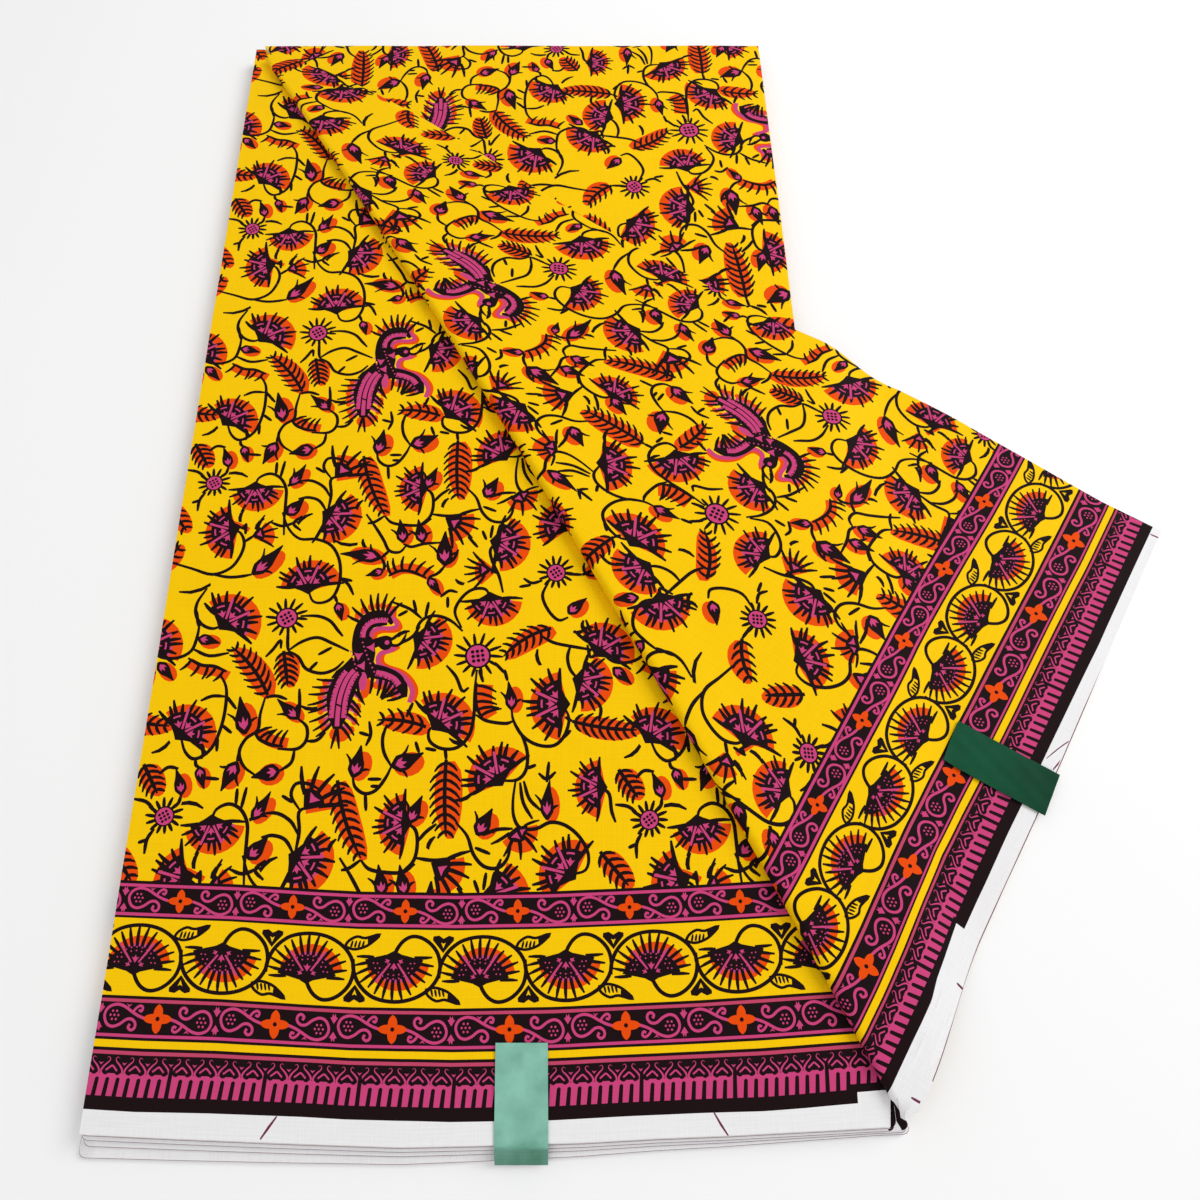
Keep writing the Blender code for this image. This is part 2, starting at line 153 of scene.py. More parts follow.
# A fan's outline: an arc of count points, spread evenly about straight up, closed on points at low
def sector(radius, spread, count, low, lowAngles=(180,)):
    return np.vstack([polar(radius, np.linspace(-spread, spread, count)), polar(low, lowAngles)])


# A crowned arrowhead along an angle: one point low down, then three peaks with two notches between them
def crown(low, side, notch, peak, angle):
    return polar(np.array([low, side, notch, peak, notch, side]), angle + np.array([0, -19, -8, 0, 8, 19]))


# Shapes turned so that up faces the given direction in degrees, and set down;
# what lies under the black is printed a little off, by the slip: the orange by all of it, the rest by half
def placed(shapes, at, faces=90.0, slip=(1.7, -0.8)):
    turn = math.radians(faces - 90)
    matrix = np.array([[math.cos(turn), math.sin(turn)], [-math.sin(turn), math.cos(turn)]])
    done = []
    for layer, ink, ring in shapes:
        moved = ring @ matrix + at
        if layer < 2:
            moved = moved + np.multiply(slip, 1.0 if ink == "orange" else 0.55)
        done.append((layer, ink, moved))
    return done


# An open fan: an orange half-disc slipped behind it, a black body, thick blunt rays off its rim, and on the body
# pink spokes with crowned arrowheads and bars between them
def fanShapes(reach):
    spread = 80
    shapes = [(1, "orange", sector(0.92 * reach, spread, 13, 0.05 * reach)),
              (1.5, "magenta", sector(0.66 * reach, spread, 13, 0.06 * reach))]
    for k, a in enumerate(np.linspace(-spread - 4, spread + 4, 12)):
        tip = polar(reach * (0.97 + 0.09 * math.sin(2.7 * k + reach)), a + 4 * math.sin(1.9 * k))
        shapes.append((2, "black", spike(polar(0.40 * reach, a), tip, 0.118 * reach, 0.03)))
    shapes.append((2, "black", sector(0.65 * reach, spread, 11, 0.22 * reach, [115, 180, 245])))
    for a in (-27, 25):
        spoke = polar(np.linspace(0.14, 0.74, 3) * reach, a)
        shapes.append((3, "magenta", stroke(spoke, 0.072 * reach, (0.8, 1))))
    for a in (-56, 0, 54):
        shapes.append((3, "magenta", crown(0.18 * reach, 0.38 * reach, 0.33 * reach, 0.42 * reach, a)))
        shapes.append((3, "magenta", strip(polar(0.50 * reach, np.linspace(a - 12, a + 12, 4)), 0, 0.05 * reach)))
    return shapes


# A bud: a round base that runs out to a long bent tip, by the table of half widths along it, with two sepals
def budShapes(length, width, bend=0.12):
    t = np.linspace(0, 1, 11)
    half = width / 2 * readOff([(0, 0.2), (0.08, 0.55), (0.2, 0.95), (0.35, 1), (0.5, 0.88), (0.65, 0.58),
                                (0.8, 0.36), (1, 0.10)], t)
    middle = np.stack([bend * length * t ** 2.5, t * length], 1)
    heart = np.array([(0, 0.12), (0.25, 0.24), (0.29, 0.40), (0.13, 0.31), (0.02, 0.47), (-0.11, 0.31),
                      (-0.29, 0.38), (-0.24, 0.24)]) * (width, length)
    shapes = [(1, "orange", dot((0.2, 0.42 * length), 0.66 * width, 14, 0.46 * length / (0.66 * width))),
              (2, "black", bothSides(middle, np.stack([half, 0 * half], 1))), (3, "magenta", heart)]
    if length > 12.5:
        for way in (-1, 1):
            tip = (way * 0.86 * width, (0.50 - 0.14 * way) * length)
            shapes.append((2, "black", spike((way * 0.3 * width, 0.22 * length), tip, 1.35, 0.12 * way)))
    return shapes


# A frond: an orange leaf, a black rib, and pairs of barbs that lean towards its tip
def frondShapes(length, width, bend=0.0, pairs=8):
    t = np.linspace(0, 1, 9)
    half = 0.46 * width * readOff([(0, 0.35), (0.12, 0.8), (0.3, 1), (0.6, 0.95), (0.85, 0.7), (1, 0.2)], t)
    rib = np.stack([bend * length * 4 * t * (1 - t), t * length], 1)
    shapes = [(1, "orange", bothSides(rib, np.stack([half, 0 * half], 1))),
              (2, "black", stroke(rib, 1.75, (0.9, 0.4)))]
    for k in range(pairs):
        s = (k + 0.35) / pairs
        reach = width / 2 * readOff([(0, 0.65), (0.15, 1), (0.6, 0.95), (1, 0.42)], s)
        root = np.array([bend * length * 4 * s * (1 - s), s * length])
        for way in (-1, 1):
            shapes.append((2, "black", spike(root, root + (way * reach, 0.62 * reach + 0.8), 1.55, -0.10 * way)))
    return shapes


# A comb: spikes along one side of a bent spine over an orange strip
def combShapes(path, height, count):
    path = smoothPath(path, 4)
    shapes = [(1, "orange", strip(path, -0.12 * height, 0.62 * height)),
              (2, "black", stroke(path, 1.7, (0.6, 0.6)))]
    way, out = waysOf(path)
    for s in np.linspace(0.08, 0.92, count) * (len(path) - 1):
        k = int(s)
        root = path[k] + (path[min(k + 1, len(path) - 1)] - path[k]) * (s - k)
        shapes.append((2, "black", spike(root, root + out[k] * height + way[k] * 0.25 * height, 1.6, 0.08)))
    return shapes


# A sunflower head: a pink disc with a lattice of black spots, in a black ring of short rays
def discShapes(radius):
    shapes = [(2, "black", dot((0, 0), radius, 16)), (3, "magenta", dot((0, 0), 0.84 * radius, 16))]
    for a in np.linspace(0, 360, 14, endpoint=False):
        tip = polar((1.80 + 0.12 * math.sin(a)) * radius, a + 3)
        shapes.append((2, "black", spike(polar(0.9 * radius, a), tip, 1.6)))
    for u in (-1, 0, 1):
        for v in (-1, 0, 1):
            at = radius * 0.36 * np.array([u + 0.1 * v, v - 0.1 * u])
            shapes.append((4, "black", dot(at, 0.15 * radius, 6)))
    return shapes


# A tuft: a pink arrowhead in a small black cup with spikes fanned out of it
def tuftShapes(reach, count=5):
    spread = 50
    shapes = [(1, "orange", sector(0.72 * reach, spread, 7, 0.15 * reach)),
              (2, "black", sector(0.45 * reach, spread, 5, 0.1 * reach))]
    for a in np.linspace(-spread, spread, count):
        shapes.append((2, "black", spike(polar(0.3 * reach, a), polar(reach, a), 0.09 * reach + 0.45, 0.04)))
    shapes.append((3, "magenta", polar(reach * np.array([0.12, 0.36, 0.30, 0.36]), [0, -26, 0, 26])))
    return shapes


# The bird, in its own millimetres from the middle of its body. A limb is a black path with a toothed pink vane in
# it; feathers are spikes off a path with round pink webs between them; a double line of pink and orange runs round
def birdShapes():
    shapes = []

    def add(layer, ink, *rings):
        shapes.extend((layer, ink, ring) for ring in rings)

    def line(layer, ink, points, width, ends=(1, 1), steps=4):
        path = smoothPath(points, steps)
        add(layer, ink, stroke(path, width, ends))
        return path

    def doubled(points, width, slip):
        path = smoothPath(points, 4)
        add(1.2, "orange", stroke(path + slip, width[0]))
        add(1.6, "magenta", stroke(path, width[1]))

    def feathers(path, shares, lengths, lean, width, side, web):
        way, out = waysOf(path)
        places = [int(round(s * (len(path) - 1))) for s in np.linspace(*shares)]
        for n, k in enumerate(places):
            length = np.interp(n / (len(places) - 1), np.linspace(0, 1, len(lengths)), lengths)
            add(2, "black", spike(path[k], path[k] + side * out[k] * length + way[k] * lean, width, 0.05))
            if n:
                m = (k + places[n - 1]) // 2
                middle = path[m] + side * out[m] * (web + 1.0) + way[m] * lean * 0.3
                add(1, "orange", dot(middle + side * out[m] * 1.1 - (1.2, -0.4), 1.5, 9, 1.3))
                add(1.6, "magenta", stroke(np.stack([path[m], middle + side * out[m] * 0.5]), 2.0, (1, 0.7)))

    def vane(path, width, teeth, side=1):
        way, out = waysOf(path)
        add(3, "magenta", strip(path, -side * width * 0.1, side * width))
        for k in np.linspace(1, len(path) - 2, teeth).astype(int):
            root = path[k] + side * out[k] * width * 1.25
            add(4, "black", spike(root, root - side * out[k] * width * 0.62 - way[k] * 0.35, 0.5))

    # The upper wing, its feathers and the double line that runs through it
    crest = line(2, "black", [(-1.6, 0.0), (-2.4, 6.0), (-1.4, 13.4), (2.2, 18.4), (7.0, 19.6), (10.6, 18.4),
                              (13.4, 15.0)], 4.6, (1, 0.35), 5)
    inner = line(2, "black", [(1.0, 8.4), (1.5, 12.0), (4.0, 15.0), (8.0, 15.9), (11.2, 15.7)], 4.2, (1, 0.6), 5)
    vane(inner, 2.3, 12)
    feathers(crest, (0.40, 0.86, 8), [8.4, 10.4, 11.0, 10.0], -1.2, 1.7, 1, 2.8)
    doubled([(2.6, 8.2), (3.6, 11.8), (7.0, 13.3), (12.0, 13.4), (14.6, 14.6), (13.6, 17.2), (11.6, 19.4),
             (11.4, 22.6)], (2.4, 2.0), (0.8, -0.7))
    doubled([(14.6, 4.2), (12.0, 2.4), (8.4, 1.4), (7.0, -1.0), (7.6, -4.0), (10.6, -6.0), (16.4, -8.0),
             (20.8, -11.6), (23.4, -16.6), (22.4, -22.0)], (2.2, 2.3), (0.9, 0.8))
    # Neck, head with its eye and two beaks, body and foot
    line(2, "black", [(1.0, 4.6), (4.6, 5.2), (8.0, 6.4), (11.0, 7.2), (13.8, 6.6)], 4.4, (1, 0.7))
    add(2, "black", dot((10.8, 5.4), 3.3, 12, 0.95))
    add(4, "magenta", dot((11.5, 6.0), 1.15, 8))
    add(2, "black", spike((13.4, 7.4), (17.6, 11.2), 1.7, -0.05))
    line(2, "black", [(13.0, 4.8), (16.4, 4.6), (18.8, 6.8), (20.4, 11.0)], 1.5, (1, 0.3))
    add(2, "black", dot((1.6, 0.6), 4.9, 14, 1.9), dot((3.2, -6.6), 4.0, 12, 1.2))
    line(2, "black", [(-12.6, -11.0), (-7.0, -6.6), (-3.0, -2.0)], 3.4, (0.2, 1))
    # The lower wing
    wing = line(2, "black", [(5.6, -8.6), (10.6, -9.2), (15.6, -11.0), (19.6, -15.0), (21.2, -20.0)], 5.2,
                (1, 0.4), 5)
    line(2, "black", [(6.4, -5.6), (12.4, -7.2), (18.0, -10.4), (21.4, -16.0)], 2.6, (1, 0.5), 5)
    vane(smoothPath([(7.6, -7.4), (12.0, -8.4), (16.4, -10.6), (19.0, -13.6)], 5), 2.6, 9, -1)
    feathers(wing, (0.02, 0.96, 7), [9.8, 10.8, 11.0, 8.2], 0.6, 1.7, -1, 3.0)
    # The long tail, with a vane on each side of its rib
    plume = smoothPath([(0.2, -4.0), (-5.2, -10.6), (-7.9, -19.0), (-8.4, -27.0), (-8.2, -34.6)], 6)
    width = np.interp(np.linspace(0, 1, len(plume)), [0, 0.2, 0.5, 0.8, 1], [3.4, 6.2, 6.2, 4.4, 1.8])
    beside = np.stack([width, 0 * width], 1)
    add(2, "black", bothSides(plume, beside))
    add(3, "magenta", strip(plume[3:-1], -1.0, 1.0))
    for way in (1, -1):
        vane(plume[4:-4] + (1.9 * way, 0), 2.0, 11, way)
    add(4, "black", stroke(plume[15:17] + [(-1.5, 0), (1.5, 0)], 0.8))
    feathers(plume - beside * 0.8, (0.28, 0.92, 8), [8.0, 9.6, 9.4, 8.4], 3.2, 1.5, -1, 2.2)
    feathers(plume + beside * 0.7, (0.42, 0.97, 6), [7.0, 7.6, 7.4, 6.6], 5.0, 1.5, 1, 2.4)
    for a in (-10, 8):
        add(2, "black", spike((-8.2, -33.6), (-8.2 + 0.2 * a, -43.4), 1.5))
    # Spots of colour beside the tail, three arrowheads on the body and two rows of dots
    add(1, "orange", dot((-8.6, -36.0), 4.6, 12, 0.8))
    add(1.2, "orange", dot((1.4, -14.4), 2.4, 10, 2.2))
    add(2.5, "magenta", dot((1.6, -12.6), 2.0, 10, 2.3))
    line(2.5, "black", [(0.6, -8.6), (-0.8, -13.0), (0.6, -18.6), (3.4, -23.6)], 1.4, (1, 0.4))
    for at, size, turn in (((-1.2, -0.4), 2.5, 0), ((4.6, 3.6), 2.6, 30), ((0.8, -5.2), 2.6, 30)):
        corners = polar(size * np.array([0.95, 1.0, 0.4, 1.0]), np.array([180, 305, 0, 55]) - turn)
        add(3, "magenta", np.array(at) + corners)
    for n in range(8):
        add(3, "magenta", dot((0.3 + 0.68 * n + 0.03 * n * n, 6.0 - 2.0 * n), 0.46, 6))
        if n < 6:
            add(3, "magenta", dot((-4.8 + 0.75 * n, 1.6 - 2.0 * n), 0.44, 6))
    return shapes


# One repeat of the field, charted in millimetres: where each motif sits, the way it faces and its size
repeat = {"across": 208.0, "up": 161.5, "vine": 1.65, "middle": (104.0, 175.0), "reach": 190}
fans = [(29, 206.2, 52, 17), (66.2, 224.4, 95, 16), (130, 158.8, 50, 16.5), (16.2, 154.4, 53, 15.5),
    (26.9, 254.4, 190, 16), (120, 198.8, -20, 15), (152.5, 219, -85, 14.5), (155, 248, -10, 16),
    (185.6, 168, 180, 17.5), (157.5, 134.4, 125, 16.5), (118, 116, 180, 14.5), (35, 116.5, -85, 14),
    (72.5, 101.5, -25, 16), (203, 193, 55, 16), (193.5, 179, -15, 15), (202, 131, 178, 14), (188, 95, 140, 16)]
buds = [(39, 231, 45, 20, 7.5), (68, 161, 140, 14, 5.6), (45, 154, 105, 18, 7.5), (80.5, 217, -70, 10, 5),
    (17.5, 199, -8, 11, 5.4), (1, 187.5, -45, 12, 5.4), (100, 239.5, 168, 20, 7.2), (110, 247.5, 100, 13, 6),
    (119.5, 247.5, 105, 13, 6), (130.6, 235.6, 96, 18, 8), (101.5, 233, 200, 9, 4.6), (123, 229.5, -60, 11, 5),
    (94, 135, 75, 14.5, 7), (110.6, 140, 18, 15, 8), (163, 165, 92, 13.5, 5.6), (178.7, 117, 91, 17, 5.8),
    (148.7, 110.6, 60, 13, 7), (20.6, 127.5, 105, 12, 5.4), (26.5, 140, -75, 10.5, 5), (43, 142, -115, 14, 7),
    (62, 138, 190, 12.5, 7.4), (52, 117, 55, 14, 5.6), (52, 101, 45, 12.5, 7), (119.5, 115.5, 68, 13, 6),
    (189, 211, 48, 12, 6)]
fronds = [(53, 172, 130, 30, 12, 0.06, 8), (58, 193, -78, 17, 11, 0, 6), (134.5, 143, -88, 33, 13.5, 0.02, 9),
    (87.5, 134, -69, 35, 11.5, 0.05, 9), (181, 204, 212, 26, 11, 0.08, 7), (190, 160, -8, 29, 11, 0.03, 8),
    (201, 104, -50, 18, 11, 0, 5), (2, 141, -58, 15, 11, 0, 5), (196, 231, 42, 20, 11, 0.1, 5),
    (125, 157.5, 172, 22, 11, 0.06, 5)]
tufts = [(131, 98.7, -30, 16, 6), (37.5, 251.2, 20, 12, 5), (152, 233.5, 182, 12.5, 6), (75, 122.5, 52, 18, 5),
    (166, 113.5, -100, 13, 4), (166, 113.5, -30, 10, 3)]
discs = [(14.5, 118.6, 4.4), (57.8, 209, 5.3), (147.3, 190.5, 6.1), (183.5, 232, 4.8)]
combs = [([(104, 230), (109, 232.6), (115, 232.2), (122, 229)], 7.5, 6),
    ([(49, 155), (52, 151.6), (57, 149.4), (62.5, 148.6)], 7.5, 5),
    ([(33, 183), (27, 185.6), (21, 186.2), (14.5, 189.5)], 6.5, 5),
    ([(147, 178), (146.6, 172), (147.4, 166), (150, 161.5)], 9.5, 5), ([(15, 97), (24, 97), (33, 93)], 3, 3)]
vines = [[(27, 254.4), (31, 252.6), (33.4, 247), (32, 240), (28, 234), (20, 231), (10, 234), (-3, 238)],
    [(20, 231), (28, 229.6), (34, 230), (39, 231)], [(37.5, 251.2), (33.4, 248)], [(33, 258), (33.4, 252)],
    [(50, 264), (54, 255), (60, 249.6), (68, 249.4), (75.5, 246), (80, 238), (81, 228), (78.6, 220), (74, 216.8),
    (69, 217.6), (66.2, 224)], [(80.6, 229), (85, 226), (88, 220.5)], [(81, 229), (87, 227.6)],
    [(79, 220.5), (80.5, 217)], [(29, 206), (24, 203.8), (18.4, 206), (15, 211), (15, 217), (18.6, 224)],
    [(17.4, 208), (17.2, 200), (15.4, 193), (9.5, 189.6), (2, 190), (-3, 193.5)],
    [(16, 194), (24, 190.6), (33, 192)], [(50, 190), (53, 193.6), (56, 198), (56.6, 194)],
    [(59, 203), (59.4, 197), (60, 193)], [(64, 210), (72, 210), (78, 207.6), (82, 203), (84.6, 200)],
    [(60, 193), (66, 197.4), (73, 199.4), (80, 196.6), (88, 192.8)],
    [(60, 193), (65, 190), (69, 184.4), (76, 182.2), (82, 184), (86, 188)], [(74, 191), (80, 194.6)],
    [(70.5, 183.6), (74, 187.6)], [(30, 182), (33.6, 176), (34.6, 168), (34, 158), (31, 148), (24.4, 143.2),
    (19.4, 146.4), (16.4, 153.6)], [(34, 171.4), (28, 171.6), (23, 169.4)], [(34, 172), (39.6, 165.6)],
    [(34, 158.4), (39, 154.6)], [(33, 153), (33.4, 146.4)],
    [(52, 171), (50.6, 163), (50.4, 156), (45.6, 152), (43.4, 146), (46, 140), (51.6, 136)],
    [(52, 171), (57, 171.6), (62, 170)], [(68, 161), (72, 157.4), (72.4, 151.6), (68.6, 147.6), (60, 147.6)],
    [(72.4, 151), (77, 151.4), (80.6, 155)], [(67.6, 147.4), (66.6, 141.6), (62, 138)],
    [(67, 175), (67.8, 168), (68, 161)], [(24.4, 143.2), (25, 140.6), (26.5, 139.6)],
    [(17.6, 139), (13, 139.6), (9.4, 136.6)], [(29, 135), (36, 134.4)], [(43.4, 146), (43, 142)],
    [(20.4, 127.6), (19.6, 124), (16.6, 121.6)], [(10.6, 120), (6, 124.6), (0, 126)],
    [(11, 113.4), (8.6, 109), (8.4, 103)], [(5, 107.6), (9, 109)], [(35, 116.6), (36.4, 121.4), (41.6, 123.8),
    (47, 121.4), (50.4, 115.6), (51, 108), (51.2, 99), (52, 90)], [(44.6, 123.4), (44.4, 130.4)],
    [(47, 121.6), (48.4, 131)], [(51, 117), (52, 117.4)], [(57, 119.8), (63, 119.8), (69, 116.4), (72.6, 111)],
    [(57, 109.8), (62, 110.6), (67.6, 108.6), (72, 102)], [(75, 122.4), (72, 120), (73, 112), (72, 102)],
    [(72, 121.6), (68, 127.4), (69.6, 132.4), (75, 132.4), (80, 130)], [(69, 124.4), (64, 127.4)],
    [(45, 97), (51, 95), (58, 97.6)], [(100, 100.6), (95.6, 97.4), (92, 96.4)],
    [(100, 100.6), (103.6, 97), (110, 95.6), (118, 95.6), (123, 99)],
    [(91, 263), (96, 256), (100.4, 249), (103.4, 243.4), (108.4, 242.6), (111.4, 246)],
    [(110, 247), (114, 245.4), (120, 247), (128, 247.6)], [(100, 239.6), (103.4, 243.4)],
    [(100, 239.6), (101.6, 236), (101.6, 233)],
    [(118, 116), (122.4, 113), (123.6, 107), (122.4, 100.4), (118, 96)],
    [(123.6, 108), (127, 112), (131.4, 115.4)], [(123, 101.4), (131, 100.4), (140, 101.4)],
    [(94, 135.4), (95.4, 131), (99.6, 128.2), (104.4, 129.6), (108.4, 135), (110.6, 140)],
    [(100.6, 134.4), (106.6, 134.4)], [(102, 131.4), (106.6, 131.2)], [(100, 128.4), (100.8, 120.8)],
    [(110.6, 140), (107, 146), (106, 152.6), (107.6, 158.6)], [(98.8, 149), (100.6, 154), (99.6, 160)],
    [(100, 153.6), (95.4, 155)], [(130, 158.8), (126.4, 156), (127, 151), (132.4, 147.8), (139.4, 148.4),
    (144.4, 154), (146.2, 163), (146.2, 173), (147, 184)], [(133.8, 148), (134.5, 143)],
    [(122.4, 146), (120.6, 151)], [(125, 148), (130, 147)], [(185.6, 168), (188.6, 161.6), (186.8, 154),
    (182, 149.2), (174.6, 149.4), (168, 153.4), (164, 160), (163, 165)],
    [(164, 160), (168.4, 152), (170.2, 145), (169.4, 138), (165.4, 134), (157.6, 133.8)],
    [(147, 163), (152, 160.2), (160, 159), (163.6, 160)], [(165, 133.4), (164, 125.4), (164.4, 118.4),
    (167.4, 113.6), (174, 113.4), (180, 116), (186.4, 114.8), (192.4, 110), (196, 103), (194.8, 96.6),
    (188, 94.6)], [(167, 133), (168.4, 124.4), (172.4, 117.4)], [(168.6, 133.6), (171, 126), (176, 121)],
    [(170, 139), (174, 140.6)], [(175, 137), (178.6, 134.4), (182.6, 137.6)], [(178.6, 133), (179.6, 142)],
    [(151, 110.6), (157, 113), (164, 113.4)],
    [(139.6, 116), (144.6, 110.4), (147.4, 103), (152, 98), (158, 97.4), (162, 101.6), (163.4, 109)],
    [(148, 105.6), (154.6, 103)],
    [(120, 198.8), (118.8, 204), (122, 208.8), (128, 210), (134.6, 207.4), (140, 202.4)],
    [(120.6, 208.8), (115, 213.4), (106.4, 217)], [(114, 212.6), (109.6, 210)], [(118, 211.8), (116.4, 218)],
    [(122.4, 209.6), (123.6, 217)],
    [(152.5, 219), (150, 223.4), (144, 223.2), (139, 219), (136, 212), (139.4, 204)],
    [(155, 248), (152, 243.6), (153.2, 237.4), (156.4, 230), (158.4, 221.6)], [(152, 233.5), (156, 231.4)],
    [(130.6, 235.6), (134.6, 239), (136.6, 244)], [(130.6, 235.6), (127.4, 231.6), (123, 229.5)],
    [(152, 250), (153, 257)], [(155, 250), (156.6, 257.4)], [(150, 249), (148, 254)],
    [(129, 219.4), (133, 222.6), (137, 221.8)], [(132.4, 219.6), (132.6, 214)],
    [(180, 227.4), (177, 220.4), (179.6, 213), (184.4, 208), (189, 209.4)], [(188, 231.4), (196, 231)],
    [(176, 200.4), (182, 197), (190, 195.2), (203, 193)], [(190, 196), (188.4, 190), (189.6, 184), (193.5, 179)],
    [(203, 193), (199, 190), (197.6, 196)], [(202, 131), (205.6, 128), (206.4, 121), (208, 116)],
    [(187, 162), (190, 160)], [(189.4, 156), (186, 152.4)], [(168, 229), (172, 226.6), (177, 228)],
    [(166, 224.6), (171.6, 225.6)], [(120, 205), (117, 200), (111.6, 196.4)],
    [(133, 186), (137.6, 180.6), (140.6, 174), (143.6, 175.6)], [(116, 162), (118.6, 168.6)],
    [(141, 251), (146, 245)], [(60, 262), (56, 258), (60, 254)], [(148, 184), (150, 178)],
    [(159.6, 184), (161, 178.6)], [(155, 187.4), (160, 182)], [(200, 171), (203, 166), (202, 160)],
    [(15, 213), (17, 205)]]
leaves = [(20, 226, 195, 15), (21, 124, -12, 10), (12, 151, 215, 9), (26, 150, -80, 7), (88, 247, 170, 12),
    (92, 245, 110, 5), (110, 200, 25, 6), (76, 166, 172, 8), (86, 104, 60, 6), (30, 97, 80, 7), (38, 93, 60, 7),
    (58, 96, 40, 9), (128, 105, 60, 6), (196, 203, 90, 5), (196, 203, 190, 5), (196, 203, 300, 5),
    (196, 203, 20, 5), (146, 128, 200, 8), (142, 150, 160, 7), (176, 186, 100, 8), (140, 226, 150, 5)]
bird = (93.7, 191.0)


# How far the chart's cloth bows along its width: a parabola, in millimetres
def rowBow(x):
    return 3.2 * ((x - 140) / 140) ** 2


# The whole repeat as shapes; its chart was read on cloth that bows by rowBow, so that is taken off again
def fieldRepeat():
    shapes = []
    for x, y, faces, reach in fans:
        shapes += placed(fanShapes(reach), (x, y), faces)
    for x, y, faces, length, width in buds:
        shapes += placed(budShapes(length, width, 0.10 * math.sin(3 * x)), (x, y), faces)
    for x, y, faces, *sizes in fronds:
        shapes += placed(frondShapes(*sizes), (x, y), faces)
    for x, y, faces, reach, count in tufts:
        shapes += placed(tuftShapes(reach, count), (x, y), faces)
    for x, y, radius in discs:
        shapes += placed(discShapes(radius), (x, y), 90 + 40 * math.sin(x))
    for path, height, count in combs:
        shapes += placed(combShapes(path, height, count), (0, 0))
    for path in vines:
        shapes.append((2, "black", stroke(smoothPath(path, 4), repeat["vine"], (0.6, 0.6))))
    for x, y, faces, length in leaves:
        shapes += placed([(2, "black", spike((0, 0), (0, length), 1.9, 0.12))], (x, y), faces)
    shapes += placed(birdShapes(), bird)
    return [(layer, ink, ring - np.stack([0 * ring[:, 0], rowBow(ring[:, 0].clip(0, repeat["across"]))], 1))
            for layer, ink, ring in shapes]


# The border's bands, in millimetres in from the selvedge: low, high, ink and layer
bands = [(-14.0, 6.1, "white", 18), (6.1, 24.8, "black", 10), (10.8, 18.4, "magenta", 11),
    (24.8, 26.1, "brick", 11), (26.1, 27.2, "black", 11), (27.2, 29.8, "yellow", 12), (29.8, 30.8, "black", 11),
    (30.8, 31.9, "magenta", 11), (31.9, 43.0, "black", 10), (43.0, 44.2, "brick", 11), (44.2, 45.3, "black", 11),
    (45.3, 74.4, "yellow", 10), (74.4, 75.3, "black", 11), (75.3, 76.5, "magenta", 11), (76.5, 86.6, "black", 10),
    (86.6, 87.8, "magenta", 11), (87.8, 89.0, "black", 11)]


# The scrolled band's half repeat, right of a four-petalled flower; the other half is this one turned half round
def scrollHalf():
    outline = smoothPath([(5.2, 0.0), (8, -0.9), (10.7, -2.2), (14, -4.0), (17.3, -4.6), (20.4, -3.4),
                          (21.6, -0.7), (20.3, 2.2), (17.8, 3.2), (15.0, 2.3), (12.6, 0.6), (10.4, 0.4), (8.8, 1.7),
                          (8.8, 3.4), (10.1, 4.2), (11.4, 3.3), (10.8, 2.1)], 3)
    curl = smoothPath([(10.3, -1.9), (9.3, -3.4), (7.7, -4.4), (6.5, -3.8), (6.9, -2.5), (8.0, -2.9)], 3)
    rings = [stroke(outline, 1.05), stroke(curl, 0.95)]
    for row, count in ((1.45, 2), (0.0, 3), (-1.45, 2)):
        rings += [dot((17.6 + 1.6 * (k - (count - 1) / 2), -0.8 + row), 0.47, 6) for k in range(count)]
    rings.append(np.array([(11.0, -4.9), (12.2, -3.7), (13.2, -5.0), (12.2, -4.5)]))
    return [(13, "magenta", ring) for ring in rings]


# A petal cross: a radius that swells four times round and comes to a point, longer along the band than over it
def flowerShapes(size):
    turn = np.linspace(0, 2 * np.pi, 48, endpoint=False)
    swell = 0.46 + 0.40 * np.abs(np.cos(2 * turn)) ** 1.4 + 0.14 * (1 - np.abs(np.sin(2 * turn))) ** 2
    ring = np.stack([5.8 * size * swell * np.cos(turn), 5.2 * size * swell * np.sin(turn)], 1)
    return [(15, "orange", ring), (16, "black", dot((0, 0), 0.85, 8))]


